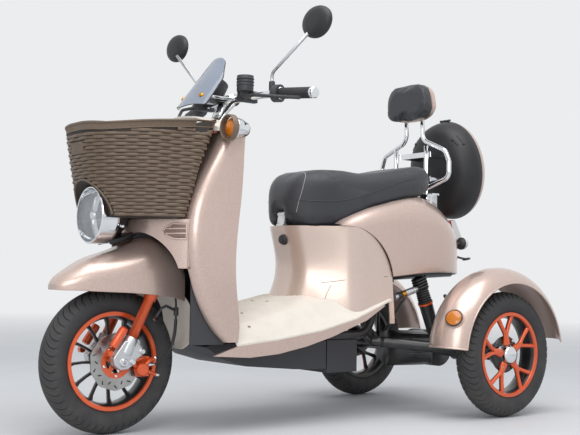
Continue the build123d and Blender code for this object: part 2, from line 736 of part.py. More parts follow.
# distance from the rear axle, half width, lower edge, top, upper corner radius
TAIL_ROWS = [
    (-545, 186, 440, 612, 30),
    (-420, 194, 444, 668, 60),
    (-270, 204, 456, 712, 90),
    (-150, 200, 465, 722, 110),
    (-60, 180, 465, 692, 112),
    (0, 148, 463, 662, 104),
    (60, 94, 461, 634, 78),
    (100, 52, 459, 590, 44),
]


def tail_loft(wall):
    """The tail's outer form, or its inside."""
    faces = []
    for place, half, low, top, corner in TAIL_ROWS:
        w = half - wall
        t = top - wall
        b = low - (20 if wall else 0)
        faces.append(across(outline([(-w, b), (w, b), (w, t), (-w, t)],
                                    [4, 4, corner - wall, corner - wall]), ry(place)))
    if wall:
        faces[0] = Pos(0, -5, 0) * faces[0]
        faces[-1] = Pos(0, -wall, 0) * faces[-1]
    return loft(faces)


tail_lamp_face = outline([(ry(80), 652), (ry(108), 560), (ry(130), 552), (ry(134), 600), (ry(100), 656)], 4)
tail_lamp = slab(tail_lamp_face, -46, 46)
lamp_seat = outline([(ry(76.7), 662), (ry(112.3), 545), (ry(200), 540), (ry(200), 700)], 2)
tail = tail_loft(0) - tail_loft(THIN) - seam(0.6) - seat_room
save("tail_cover", tail - slab(lamp_seat, -46.3, 46.3))
save("tail_lamp", tail_lamp)

RAIL_X = 124
RAIL_Z = 262
RAIL_R = 14

ARM_X = 165

# Storage tub below the seat
TUB_HALF = RAIL_X - RAIL_R - 0.3
tub = box((-TUB_HALF, ry(-560), 430), (TUB_HALF, ry(-260), 740))
tub -= box((-TUB_HALF + 4, ry(-556), 434), (TUB_HALF - 4, ry(-264), 760))
save("storage_tub", tub - seat_room)

# Frame
head = rod(on_stem(HEAD_LOW), on_stem(HEAD_HIGH), STEM_R + RUN_GAP + HEAD_WALL)
neck = pipe([on_stem(560), (0, fy(273.3), 590), (0, fy(273.3), RAIL_Z), (0, fy(400), RAIL_Z)],
            [60, 40], NECK_R)
neck += rod((-RAIL_X, fy(400), RAIL_Z), (RAIL_X, fy(400), RAIL_Z), RAIL_R)
head_frame = head + neck - rod(on_stem(HEAD_LOW - 30), on_stem(HEAD_HIGH + 30), STEM_R + RUN_GAP)
save("head_frame", head_frame)

rail = pipe([(RAIL_X, fy(400), RAIL_Z), (RAIL_X, ry(-395), RAIL_Z), (RAIL_X, ry(-315), 450),
             (RAIL_X, ry(-8), 466)], [60, 60], RAIL_R)
lug = make_face(Polyline((ry(-402), 254), (ry(-384), 290), (ry(-350), 262), (ry(-346), 224),
                         (ry(-374), 224), close=True))
rail += slab(lug, RAIL_X - 6, RAIL_X + 6)
rails = both(rail) - rod((-RAIL_X - 30, fy(400), RAIL_Z), (RAIL_X + 30, fy(400), RAIL_Z), RAIL_R)
rails += rod((-RAIL_X, ry(-24), 465), (RAIL_X, ry(-24), 465), 10)
rails += rod((-ARM_X - 16, ry(-205), 458), (ARM_X + 16, ry(-205), 458), 8)
rails -= rod((-200, ry(-362), 240), (200, ry(-362), 240), 12.3)
save("rail_frame", rails)

BELLY_TOP = RAIL_Z - RAIL_R - RUN_GAP
BELLY_END = 686
BELLY_T = 4
# distance behind the front axle, height
BELLY_LINE = [(240, 240), (300, 203), (382, 180), (563, 164), (BELLY_END, 160)]
belly_out = BELLY_LINE + [(BELLY_END, BELLY_TOP), (262, BELLY_TOP)]
belly_in = [(a + BELLY_T, b + WALL) for a, b in BELLY_LINE] + [(BELLY_END + BELLY_T, 290), (270, 290)]
belly_outer = make_face(Polyline(*[(floor_y(a), b) for a, b in belly_out], close=True))
belly_inner = make_face(Polyline(*[(floor_y(a), b) for a, b in belly_in], close=True))
belly = slab(belly_outer, -RAIL_X - 6, RAIL_X + 6)
belly -= slab(belly_inner, -RAIL_X - 2, RAIL_X + 2)
save("belly_pan", belly)
BATTERY_L = 124
battery_y = floor_y(BELLY_END + BELLY_T)
save("battery_case", box((-RAIL_X - 6, battery_y, 147), (RAIL_X + 6, battery_y + BATTERY_L, BELLY_TOP)))

# Rear axle, arms and shocks
pivot_y = ry(-362)
pivot_z = 240
HOUSING_R = 24
arms = both(rod((ARM_X, pivot_y, pivot_z), (ARM_X, ry(-10), AXLE_Z + 4), 17))
arms += both(rod((ARM_X - 20, ry(0), AXLE_Z), (ARM_X + 20, ry(0), AXLE_Z), HOUSING_R + 9))
arms -= rod((-300, ry(0), AXLE_Z), (300, ry(0), AXLE_Z), HOUSING_R + RUN_GAP)
arms += rod((-ARM_X, pivot_y, pivot_z), (ARM_X, pivot_y, pivot_z), 12)
save("swing_arms", arms)

housing = rod((-TRACK / 2 + 40, ry(0), AXLE_Z), (TRACK / 2 - 40, ry(0), AXLE_Z), HOUSING_R)
housing += rod((-60, ry(0), AXLE_Z), (70, ry(0), AXLE_Z), 62)
housing += rod((20, ry(-195), AXLE_Z + 4), (20, ry(-40), AXLE_Z), 60)
housing += rod((-TRACK / 2 - 20, ry(0), AXLE_Z), (TRACK / 2 + 20, ry(0), AXLE_Z), REAR_SHAFT_R)
save("rear_axle", housing)

shock_low = (ARM_X, ry(-116), 239.6)
shock_high = (ARM_X, ry(-202), 449)


def shock(side):
    """A coil spring shock as a damper with its turns."""
    low = (side * shock_low[0], shock_low[1], shock_low[2])
    high = (side * shock_high[0], shock_high[1], shock_high[2])
    return rod(low, high, 14)


save("shocks", shock(1) + shock(-1))

# Rear mudguards
GUARD_IN = 250
GUARD_OUT = 412
GUARD_LIP = GUARD_TOP - 50


def guard(side):
    """An arched shell turned about the rear axle."""
    mid = (GUARD_IN + GUARD_OUT) / 2
    over = ThreePointArc((GUARD_IN, GUARD_LIP), (mid, GUARD_TOP), (GUARD_OUT, GUARD_LIP))
    under = ThreePointArc((GUARD_IN + THIN, GUARD_LIP), (mid, GUARD_TOP - THIN), (GUARD_OUT - THIN, GUARD_LIP))
    face = make_face([over, Line(over @ 1, under @ 1), under, Line(under @ 0, over @ 0)])
    place = Plane(origin=(0, REAR_AXLE_Y, AXLE_Z), x_dir=(1, 0, 0), z_dir=(0, -1, 0))
    axle_line = Axis((0, REAR_AXLE_Y, AXLE_Z), (1, 0, 0))
    start = (place * face).rotate(axle_line, GUARD_START)
    shell = revolve(start, axis=axle_line, revolution_arc=-GUARD_ARC)
    return shell if side > 0 else mirror(shell, about=Plane.YZ)


stays = None
for angle in (50, 90, 130):
    a = radians(angle)
    low = (243.7, ry((HOUSING_R + RUN_GAP) * cos(a)), AXLE_Z + (HOUSING_R + RUN_GAP) * sin(a))
    high = (243.7, ry((GUARD_LIP + 14) * cos(a)), AXLE_Z + (GUARD_LIP + 14) * sin(a))
    stay = rod(low, high, 6)
    stays = stay if stays is None else stays + stay
save("mudguard_stays", both(stays))
save("rear_mudguard_left", guard(1))
save("rear_mudguard_right", guard(-1))

# Backrest, rack and trunk
post_y = ry(-78)
EAR_TOP = RACK_Z + 1
rack = box((-RACK_HALF, ry(-64), RACK_Z), (RACK_HALF, ry(-30), RACK_Z + RACK_T))
rack += both(box((48, ry(-86), 640), (RACK_HALF, ry(-40), EAR_TOP)))
save("rack_plate", rack - tail_loft(-RUN_GAP))
posts = both(rod((75, post_y, EAR_TOP + RUN_GAP), (75, post_y, 905), TUBE_R))
hoop = both(pipe([(40, ry(-62), 1040), (40, ry(-62), 930), (150, ry(-62), 884), (166, ry(-60), 845),
                  (166, ry(-60), 790), (75, post_y, 756)], [40, 30, 20, 30], TUBE_R))
save("backrest_frame", posts + hoop)
pad = Pos(0, ry(-84), 1062) * Box(215, 56, 132)
pad = fillet(pad.edges().filter_by(Axis.Y), 50)
save("backrest_pad", pad - both(rod((40, ry(-62), 980), (40, ry(-62), 1040.3), TUBE_R + 0.05)))

# Trunk: a deep front shell and a shallow lid, both domed, leaning forward
TRUNK_AT = (0, ry(100), 836)
TRUNK_LEAN = 8
SEAM_AT = 20
# distance back from the trunk's middle, half width, half height
SEAM_RISE = 178
TRUNK_ROWS = [(-72, 66, 82), (-60, 112, 130), (-36, 142, 160), (0, 154, 175), (SEAM_AT, 156, SEAM_RISE)]
LID_ROWS = [(SEAM_AT, 156, SEAM_RISE), (44, 146, 168), (58, 120, 140), (66, 80, 98)]


def trunk_form(rows, wall, start, end):
    """A domed shell's form, or its hollow, with its first and last sections moved."""
    faces = []
    for back, half, rise in rows:
        ring = Plane(origin=(0, back, 0), x_dir=(1, 0, 0), z_dir=(0, -1, 0)) * Ellipse(half - wall, rise - wall)
        faces.append(ring)
    faces[0] = Pos(0, start, 0) * faces[0]
    faces[-1] = Pos(0, end, 0) * faces[-1]
    return Pos(*TRUNK_AT) * (Rot(TRUNK_LEAN, 0, 0) * loft(faces))


def trunk_pin(radius):
    """The lid's hinge pin at the top of the seam."""
    pin = rod((-24, SEAM_AT, SEAM_RISE + 3), (24, SEAM_AT, SEAM_RISE + 3), radius)
    return Pos(*TRUNK_AT) * (Rot(TRUNK_LEAN, 0, 0) * pin)


trunk_base = trunk_form(TRUNK_ROWS, 0, 0, 0) - trunk_form(TRUNK_ROWS, THIN, THIN, 3)
save("trunk_base", trunk_base + trunk_pin(4))
trunk_lid = trunk_form(LID_ROWS, 0, RUN_GAP, 0) - trunk_form(LID_ROWS, THIN, -3, -THIN)
save("trunk_lid", trunk_lid - trunk_pin(4 + 2 * RUN_GAP))

# Two straps from the posts to the trunk
straps = None
for z in (790, 876):
    strap = box((-88, post_y + 8.3, z - 9), (88, post_y + 11.3, z + 9))
    strap += both(box((54, post_y + 8.3, z - 9), (58, ry(80), z + 9)))
    straps = strap if straps is None else straps + strap
save("trunk_straps", straps - trunk_form(TRUNK_ROWS, -RUN_GAP, 0, 0))
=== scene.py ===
import json
from math import asin, atan2, cos, pi, radians, sin, sqrt, tau

import bmesh
import bpy
from mathutils import Matrix, Vector
from mathutils.bvhtree import BVHTree

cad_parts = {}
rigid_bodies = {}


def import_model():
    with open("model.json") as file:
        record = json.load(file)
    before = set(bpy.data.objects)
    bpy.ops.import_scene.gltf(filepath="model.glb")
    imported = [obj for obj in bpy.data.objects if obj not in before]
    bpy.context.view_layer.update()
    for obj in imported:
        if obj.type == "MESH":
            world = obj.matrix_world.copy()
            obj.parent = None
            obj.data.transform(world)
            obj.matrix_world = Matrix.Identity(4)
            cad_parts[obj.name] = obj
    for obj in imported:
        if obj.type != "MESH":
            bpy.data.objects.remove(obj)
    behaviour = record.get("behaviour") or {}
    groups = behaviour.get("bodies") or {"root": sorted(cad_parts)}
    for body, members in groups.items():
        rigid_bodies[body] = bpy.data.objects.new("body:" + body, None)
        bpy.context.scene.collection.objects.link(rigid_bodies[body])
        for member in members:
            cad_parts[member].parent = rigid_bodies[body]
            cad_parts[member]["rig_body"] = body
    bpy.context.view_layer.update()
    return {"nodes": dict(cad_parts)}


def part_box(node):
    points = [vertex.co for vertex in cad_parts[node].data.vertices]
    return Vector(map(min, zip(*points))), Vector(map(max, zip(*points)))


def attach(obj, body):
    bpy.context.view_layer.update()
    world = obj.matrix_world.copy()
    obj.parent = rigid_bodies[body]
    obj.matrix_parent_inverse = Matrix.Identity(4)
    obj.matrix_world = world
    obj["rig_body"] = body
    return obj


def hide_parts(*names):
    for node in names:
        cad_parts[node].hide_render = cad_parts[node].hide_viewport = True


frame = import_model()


# Electric three wheeled scooter: its finishes and its fine forms.
# Lengths are metres; MM turns millimetres into them.
MM = 0.001


def centre(node):
    """The middle of a solid's box."""
    low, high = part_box(node)
    return (low + high) / 2


FRONT_AXLE = centre("front_tyre")
REAR_AXLE = Vector((0, centre("rear_tyre_left").y, FRONT_AXLE.z))
TRACK_HALF = centre("rear_tyre_left").x
TYRE_R = FRONT_AXLE.z
RIM_R = 137.5 * MM
RAKE = radians(26.3)
SIDES = ((1, "left"), (-1, "right"))
REARWARDS = Vector((0, 1, 0))


def front(distance):
    """Y of a place so many millimetres behind the front axle."""
    return FRONT_AXLE.y + distance * MM


def rear(distance):
    """Y of a place so many millimetres behind the rear axle."""
    return REAR_AXLE.y + distance * MM


def ahead_place(x, back, z):
    """A place in millimetres: X, distance behind the front axle, height."""
    return Vector((x * MM, front(back), z * MM))


def rear_place(x, back, z):
    """A place in millimetres: X, distance behind the rear axle, height."""
    return Vector((x * MM, rear(back), z * MM))


def across(points):
    """The same places on the other side of the machine."""
    return [Vector((-p.x, p.y, p.z)) for p in points]


def on_stem(along, x=0.0, ahead=0.0):
    """A place along the steering axis, in millimetres from the front axle."""
    back = along * sin(RAKE) - ahead * cos(RAKE)
    rise = along * cos(RAKE) + ahead * sin(RAKE)
    return Vector((x * MM, front(back), TYRE_R + rise * MM))


# Camera, lamps and floor

PHOTO_WIDTH = 580
FOCAL_PIXELS = 1019.1
# metres to the left, ahead of the rear axle and above the ground
CAMERA_LEFT = 2.568
CAMERA_AHEAD = 2.616
CAMERA_HEIGHT = 0.452
CAMERA_YAW = radians(37.92)
CAMERA_PITCH = radians(3.17)
CAMERA_ROLL = radians(0.97)
BACKDROP = (0.93, 0.94, 0.95)
BACKDROP_STRENGTH = 0.9
SKY = (0.9, 0.94, 1.0)
SKY_STRENGTH = 0.62
# name, place, aim, size and watts
LAMPS = [("overhead", (1.2, -0.6, 3.6), (0, 0, 0.4), 3.0, 95),
         ("ahead", (3.0, -3.4, 1.9), (0, -0.1, 0.5), 2.0, 42)]
FLOOR_REACH = 30
# distances between which the floor fades into the backdrop
FADE = (2.5, 8.0)


def make_camera():
    """The photograph's own view."""
    data = bpy.data.cameras.new("camera")
    data.sensor_width = 36
    data.lens = FOCAL_PIXELS / PHOTO_WIDTH * data.sensor_width
    camera = bpy.data.objects.new("camera", data)
    bpy.context.scene.collection.objects.link(camera)
    ahead = Vector((-cos(CAMERA_YAW) * cos(CAMERA_PITCH), sin(CAMERA_YAW) * cos(CAMERA_PITCH),
                    sin(CAMERA_PITCH)))
    side = ahead.cross(Vector((0, 0, 1))).normalized()
    up = side.cross(ahead)
    side, up = (side * cos(CAMERA_ROLL) + up * sin(CAMERA_ROLL),
                up * cos(CAMERA_ROLL) - side * sin(CAMERA_ROLL))
    turn = Matrix((side, up, -ahead)).transposed().to_4x4()
    camera.matrix_world = Matrix.Translation((CAMERA_LEFT, REAR_AXLE.y - CAMERA_AHEAD, CAMERA_HEIGHT)) @ turn
    bpy.context.scene.camera = camera


def add_lamp(name, place, aim, size, watts):
    """A soft square lamp aimed at a place."""
    data = bpy.data.lights.new(name, "AREA")
    data.shape = "SQUARE"
    data.size = size
    data.energy = watts
    lamp = bpy.data.objects.new(name, data)
    lamp.location = place
    lamp.rotation_euler = (Vector(aim) - Vector(place)).to_track_quat("-Z", "Y").to_euler()
    bpy.context.scene.collection.objects.link(lamp)


def make_light():
    """An overcast sky with one broad lamp above and one in front."""
    scene = bpy.context.scene
    scene.view_settings.view_transform = "Standard"
    world = bpy.data.worlds.new("studio")
    world.use_nodes = True
    scene.world = world
    tree = world.node_tree
    sky = tree.nodes["Background"]
    sky.inputs["Color"].default_value = (*SKY, 1)
    sky.inputs["Strength"].default_value = SKY_STRENGTH
    seen = add_node(tree, "ShaderNodeBackground", {"Color": (*BACKDROP, 1), "Strength": BACKDROP_STRENGTH})
    ray = add_node(tree, "ShaderNodeLightPath").outputs
    direct = calculated(tree, "MAXIMUM", ray["Is Camera Ray"], ray["Is Transmission Ray"])
    shown = calculated(tree, "MAXIMUM", direct, ray["Is Glossy Ray"])
    mixed = add_node(tree, "ShaderNodeMixShader", {0: shown, 1: sky.outputs[0], 2: seen.outputs[0]})
    tree.links.new(mixed.outputs[0], tree.nodes["World Output"].inputs["Surface"])
    for lamp in LAMPS:
        add_lamp(*lamp)


def make_floor():
    """A plain pale floor that fades into the backdrop."""
    mesh = bpy.data.meshes.new("floor")
    corners = [(x * FLOOR_REACH, y * FLOOR_REACH, 0) for x, y in ((-1, -1), (1, -1), (1, 1), (-1, 1))]
    mesh.from_pydata(corners, [], [(0, 1, 2, 3)])
    floor = new_object("floor", mesh)
    pale = Finish("pale_floor", (214, 215, 216), 0.75)
    pale.clouds(2.0, 0.5, (206, 207, 209))
    tree = pale.tree
    away = add_node(tree, "ShaderNodeVectorMath", {0: own_place(tree)}, operation="LENGTH").outputs["Value"]
    glow = add_node(tree, "ShaderNodeEmission", {"Color": (*BACKDROP, 1), "Strength": BACKDROP_STRENGTH})
    mixed = add_node(tree, "ShaderNodeMixShader", {0: ranged(tree, away, *FADE), 1: pale.shader.outputs[0],
                                                   2: glow.outputs[0]})
    tree.links.new(mixed.outputs[0], tree.nodes["Material Output"].inputs["Surface"])
    mesh.materials.append(pale.material)


# Shader groups shared by the finishes

def colour(red, green, blue):
    """A colour given as it looks on a screen, from 0 to 255, as the shaders want it."""
    share = [value / 255 for value in (red, green, blue)]
    return tuple(s / 12.92 if s <= 0.04045 else ((s + 0.055) / 1.055) ** 2.4 for s in share)


def shader_group(name, inputs, outputs):
    """A new shader node group with its named sockets, and what it is given."""
    tree = bpy.data.node_groups.new(name, "ShaderNodeTree")
    for label, value in inputs.items():
        socket = tree.interface.new_socket(label, in_out="INPUT", socket_type="NodeSocketFloat")
        socket.default_value = value
    for label in outputs:
        tree.interface.new_socket(label, in_out="OUTPUT", socket_type="NodeSocketFloat")
    given = tree.nodes.new("NodeGroupInput").outputs
    tree.nodes.new("NodeGroupOutput")
    return tree, given


def add_node(tree, kind, sockets=None, **settings):
    """A node with its settings, its values and its links, by socket name or number."""
    node = tree.nodes.new(kind)
    for key, value in settings.items():
        setattr(node, key, value)
    for key, value in (sockets or {}).items():
        if isinstance(value, bpy.types.NodeSocket):
            tree.links.new(value, node.inputs[key])
        else:
            node.inputs[key].default_value = value
    return node


def put_out(tree, **sources):
    """Link what a group puts out."""
    last = tree.nodes["Group Output"]
    for label, source in sources.items():
        tree.links.new(source, last.inputs[label])


def once(maker):
    """Keep what a maker builds the first time."""
    made = []

    def get():
        """What the maker built."""
        if not made:
            made.append(maker())
        return made[0]
    return get


def own_place(tree):
    """The piece's own coordinates."""
    return add_node(tree, "ShaderNodeTexCoord").outputs["Object"]


def ranged(tree, value, low, high):
    """A value stretched so that the first limit gives 0 and the second gives 1."""
    sockets = {"Value": value, "From Min": low, "From Max": high}
    return add_node(tree, "ShaderNodeMapRange", sockets).outputs[0]


def calculated(tree, operation, first, second):
    """What a sum, product or choice of two values gives."""
    return add_node(tree, "ShaderNodeMath", {0: first, 1: second}, operation=operation).outputs[0]


def noise(tree, place, scale, detail):
    """Cloudy noise: its value first, and its colour by name."""
    return add_node(tree, "ShaderNodeTexNoise", {"Vector": place, "Scale": scale, "Detail": detail}).outputs


@once
def cloud_group():
    """Slow cloudy variation between two tones."""
    tree, given = shader_group("SlowClouds", {"Scale": 4.0, "Contrast": 1.0}, ["Mask"])
    clouds = noise(tree, own_place(tree), given["Scale"], 3.0)[0]
    put_out(tree, Mask=calculated(tree, "MULTIPLY", ranged(tree, clouds, 0.35, 0.65), given["Contrast"]))
    return tree


@once
def flake_group():
    """Metal flakes of a metallic paint: a sparkle mask and a faint height."""
    tree, given = shader_group("MetalFlakes", {"Scale": 900.0}, ["Sparkle", "Height"])
    place = own_place(tree)
    cells = add_node(tree, "ShaderNodeTexVoronoi", {"Vector": place, "Scale": given["Scale"]})
    grey = add_node(tree, "ShaderNodeRGBToBW", {0: cells.outputs["Color"]}).outputs[0]
    put_out(tree, Sparkle=ranged(tree, grey, 0.6, 0.95), Height=noise(tree, place, 60.0, 1.0)[0])
    return tree


@once
def grain_group():
    """Pebbled grain of vinyl, rubber and textured plastic."""
    tree, given = shader_group("PebbledGrain", {"Scale": 300.0, "Coarse": 0.4}, ["Mask", "Height"])
    place = own_place(tree)
    warped = noise(tree, place, given["Scale"], 2.0)
    shift = add_node(tree, "ShaderNodeVectorMath", {0: warped["Color"], 1: (0.004, 0.004, 0.004)},
                     operation="MULTIPLY")
    moved = add_node(tree, "ShaderNodeVectorMath", {0: place, 1: shift.outputs[0]}, operation="ADD")
    cells = add_node(tree, "ShaderNodeTexVoronoi", {"Vector": moved.outputs[0], "Scale": given["Scale"]},
                     feature="SMOOTH_F1")
    mixed = add_node(tree, "ShaderNodeMix", {0: given["Coarse"], 2: cells.outputs["Distance"], 3: warped[0]})
    put_out(tree, Mask=warped[0], Height=mixed.outputs[0])
    return tree


@once
def dust_group():
    """A trace of road dust that thins out with height."""
    tree, given = shader_group("RoadDust", {"Low": 0.0, "High": 0.35, "Amount": 0.3}, ["Mask"])
    place = own_place(tree)
    height = add_node(tree, "ShaderNodeSeparateXYZ", {0: place}).outputs["Z"]
    near = ranged(tree, height, given["High"], given["Low"])
    specks = ranged(tree, noise(tree, place, 22.0, 5.0)[0], 0.42, 0.7)
    held = calculated(tree, "MULTIPLY", near, specks)
    put_out(tree, Mask=calculated(tree, "MULTIPLY", held, given["Amount"]))
    return tree


@once
def edge_group():
    """Edges and creases by the mesh's own curvature: raised edges catch light, hollows hold shade."""
    tree, given = shader_group("EdgesAndHollows", {"Reach": 0.06}, ["Edge", "Hollow"])
    point = add_node(tree, "ShaderNodeNewGeometry").outputs["Pointiness"]
    top = calculated(tree, "ADD", given["Reach"], 0.5)
    bottom = calculated(tree, "SUBTRACT", 0.5, given["Reach"])
    put_out(tree, Edge=ranged(tree, point, 0.5, top), Hollow=ranged(tree, point, 0.5, bottom))
    return tree


class Finish:
    """One material: a Principled shader and what feeds it. Tones are as on a screen, from 0 to 255."""

    def __init__(self, name, base, roughness, metallic=0.0, **constants):
        self.material = bpy.data.materials.new(name)
        self.material.use_nodes = True
        self.tree = self.material.node_tree
        self.shader = self.tree.nodes["Principled BSDF"]
        self.base = (*colour(*base), 1)
        self.normal = None
        values = {"Base_Color": self.base, "Roughness": roughness, "Metallic": metallic, **constants}
        for label, value in values.items():
            self.shader.inputs[label.replace("_", " ")].default_value = value

    def group(self, tree, output=0, **values):
        """Place a shared group and give one of its outputs."""
        return add_node(self.tree, "ShaderNodeGroup", values, node_tree=tree).outputs[output]

    def vary(self, mask, tone):
        """Turn the colour towards another one by a mask."""
        sockets = {0: mask, 6: self.base, 7: (*colour(*tone), 1)}
        self.base = add_node(self.tree, "ShaderNodeMix", sockets, data_type="RGBA").outputs[2]
        self.tree.links.new(self.base, self.shader.inputs["Base Color"])

    def roughen(self, mask, low, high):
        """Let the roughness run between two values by a mask."""
        spread = add_node(self.tree, "ShaderNodeMapRange", {"Value": mask, "To Min": low, "To Max": high})
        self.tree.links.new(spread.outputs[0], self.shader.inputs["Roughness"])

    def bump(self, height, strength, depth):
        """Raise the surface by a height map, in millimetres, on top of what was raised before."""
        sockets = {"Height": height, "Strength": strength, "Distance": depth * MM}
        if self.normal is not None:
            sockets["Normal"] = self.normal
        self.normal = add_node(self.tree, "ShaderNodeBump", sockets).outputs[0]
        self.tree.links.new(self.normal, self.shader.inputs["Normal"])

    def clouds(self, scale, contrast, tone):
        """Slow clouds of another tone."""
        self.vary(self.group(cloud_group(), Scale=scale, Contrast=contrast), tone)

    def flakes(self, scale, tone):
        """Sparkling flakes of another tone."""
        self.vary(self.group(flake_group(), "Sparkle", Scale=scale), tone)

    def edges(self, reach, tone, output="Edge"):
        """A painted highlight in another tone on raised edges, or painted shade in creases with the Hollow
        output.
        """
        self.vary(self.group(edge_group(), output, Reach=reach), tone)

    def dust(self, low, high, amount, tone):
        """Road dust, thick at one height and gone at another."""
        self.vary(self.group(dust_group(), Low=low, High=high, Amount=amount), tone)

    def grain(self, scale, strength, depth, coarse=0.4):
        """Pebbles over the surface, their depth in millimetres."""
        self.bump(self.group(grain_group(), "Height", Scale=scale, Coarse=coarse), strength, depth)

    def sprayed(self, strength, depth):
        """The faint waves of sprayed paint, their depth in millimetres."""
        self.bump(self.group(flake_group(), "Height"), strength, depth)

    def haze(self, scale, low, high):
        """Roughness that runs between two values with the grain."""
        self.roughen(self.group(grain_group(), "Mask", Scale=scale), low, high)


# The finishes, each listed under its name

MAKERS = {}


def known_as(name):
    """List a finish's maker under its name."""
    def keep(maker):
        """Note the maker and give it back."""
        MAKERS[name] = maker
        return maker
    return keep


def metallic_paint(name, base, pale, deep):
    """Metallic body paint under a clear coat."""
    paint = Finish(name, base, 0.34, 0.55, Coat_Weight=0.7, Coat_Roughness=0.08)
    paint.clouds(3.0, 0.35, deep)
    paint.flakes(1400.0, pale)
    paint.roughen(paint.group(flake_group(), "Sparkle", Scale=700.0), 0.3, 0.42)
    paint.sprayed(0.05, 0.4)
    return paint.material


@known_as("champagne")
def champagne_paint():
    """The body's pale brown paint."""
    return metallic_paint("champagne_paint", (200, 175, 164), (234, 216, 206), (185, 159, 147))


@known_as("shade")
def shaded_paint():
    """The champagne paint darkened as painted shade, for down in a vent's slots."""
    # painted shade: a darker copy of the champagne paint
    return metallic_paint("shaded_paint", (126, 103, 92), (158, 134, 122), (104, 84, 75))


@known_as("cream_paint")
def cream_paint():
    """The lighter paint of the seat base and the inner panel."""
    return metallic_paint("cream_paint", (208, 187, 175), (228, 212, 202), (198, 176, 163))


@known_as("cream")
def cream_plastic():
    """Pale moulded plastic of the floor, the shield's crown and the mudflap."""
    cream = Finish("cream_plastic", (226, 219, 208), 0.42, Coat_Weight=0.15, Coat_Roughness=0.2)
    cream.clouds(5.0, 0.6, (216, 207, 194))
    cream.dust(0.2, 0.5, 0.25, (182, 170, 152))
    cream.grain(700.0, 0.12, 0.3)
    return cream.material


@known_as("wicker")
def wicker():
    """Brown moulded wicker with a satin top, painted shade in its hollows and a painted highlight on its
    raised edges.
    """
    brown = Finish("wicker_plastic", (90, 74, 60), 0.46, Coat_Weight=0.1, Coat_Roughness=0.3)
    brown.clouds(9.0, 0.7, (84, 67, 51))
    # painted shade: a darker tone in the hollows
    brown.edges(0.04, (36, 28, 22), "Hollow")
    # painted highlight: a lighter tone on the raised edges
    brown.edges(0.08, (112, 94, 77))
    brown.grain(500.0, 0.2, 0.3, coarse=0.7)
    return brown.material


@known_as("wicker_painted_shade")
def wicker_painted_shade():
    """The basket's own wall, dark as painted shade where it shows between the strands."""
    # a dark brown that paints the shade between the strands
    dark = Finish("wicker_painted_shade", (44, 35, 27), 0.6)
    dark.clouds(9.0, 0.6, (34, 27, 21))
    dark.grain(500.0, 0.2, 0.3, coarse=0.7)
    return dark.material


@known_as("thread")
def white_thread():
    """Pale sewing thread."""
    thread = Finish("white_thread", (214, 214, 212), 0.7)
    thread.clouds(40.0, 0.5, (186, 186, 184))
    return thread.material


@known_as("vinyl")
def black_vinyl():
    """Soft black vinyl with a fine grain."""
    vinyl = Finish("black_vinyl", (44, 45, 50), 0.5, Sheen_Weight=0.15, Sheen_Roughness=0.5)
    vinyl.clouds(7.0, 0.5, (52, 53, 58))
    vinyl.haze(420.0, 0.4, 0.6)
    vinyl.grain(520.0, 0.35, 0.5, coarse=0.3)
    return vinyl.material


@known_as("chrome")
def chrome():
    """Bright plating with a hint of haze."""
    plating = Finish("chrome", (232, 234, 236), 0.05, 1.0)
    plating.clouds(12.0, 0.5, (214, 217, 221))
    plating.haze(60.0, 0.03, 0.12)
    return plating.material


@known_as("alloy")
def cast_alloy():
    """Silver cast metal with a fine sand texture and a painted highlight on its raised edges."""
    cast = Finish("cast_alloy", (186, 188, 190), 0.38, 0.9)
    cast.clouds(30.0, 0.7, (158, 160, 163))
    # painted highlight: a paler tone on the raised edges
    cast.edges(0.1, (226, 227, 229))
    cast.grain(900.0, 0.25, 0.3, coarse=0.8)
    return cast.material


@known_as("steel")
def brushed_steel():
    """Bare steel with turning marks."""
    steel = Finish("brushed_steel", (178, 178, 176), 0.3, 1.0)
    steel.clouds(24.0, 0.6, (150, 148, 145))
    steel.haze(200.0, 0.22, 0.42)
    return steel.material


@known_as("black_metal")
def black_paint():
    """Black frame paint with a soft gloss and a little dust low down."""
    paint = Finish("black_frame_paint", (22, 22, 24), 0.32, Coat_Weight=0.3, Coat_Roughness=0.2)
    paint.clouds(8.0, 0.6, (34, 34, 36))
    paint.dust(0.1, 0.5, 0.35, (84, 80, 76))
    paint.sprayed(0.12, 0.5)
    return paint.material


@known_as("black_plastic")
def black_plastic():
    """Black moulded plastic with a fine texture and a painted highlight on its raised edges."""
    plastic = Finish("black_plastic", (27, 27, 29), 0.5)
    plastic.clouds(14.0, 0.6, (38, 38, 41))
    # painted highlight: a lighter tone on the raised edges
    plastic.edges(0.1, (58, 58, 62))
    plastic.grain(800.0, 0.25, 0.3, coarse=0.6)
    return plastic.material


@known_as("tyre")
def tyre_rubber():
    """Tyre rubber, greyer with dust where the tread meets the road, with a painted highlight on its raised
    edges.
    """
    rubber = Finish("tyre_rubber", (44, 44, 46), 0.72)
    rubber.clouds(16.0, 0.6, (56, 56, 58))
    # painted highlight: a greyer tone on the raised edges
    rubber.edges(0.08, (78, 77, 76))
    rubber.dust(0.0, 0.42, 0.35, (96, 91, 85))
    rubber.grain(420.0, 0.25, 0.5, coarse=0.7)
    return rubber.material


@known_as("grip")
def grip_rubber():
    """Soft black rubber of the grips and the shocks' bellows."""
    rubber = Finish("grip_rubber", (30, 30, 32), 0.62)
    rubber.clouds(30.0, 0.5, (42, 42, 44))
    rubber.grain(900.0, 0.3, 0.4)
    return rubber.material


@known_as("orange")
def orange_paint():
    """Bright metallic orange."""
    paint = Finish("orange_paint", (226, 88, 38), 0.3, 0.35, Coat_Weight=0.6, Coat_Roughness=0.1)
    paint.clouds(10.0, 0.5, (208, 74, 30))
    paint.flakes(1200.0, (244, 124, 68))
    paint.sprayed(0.06, 0.4)
    return paint.material


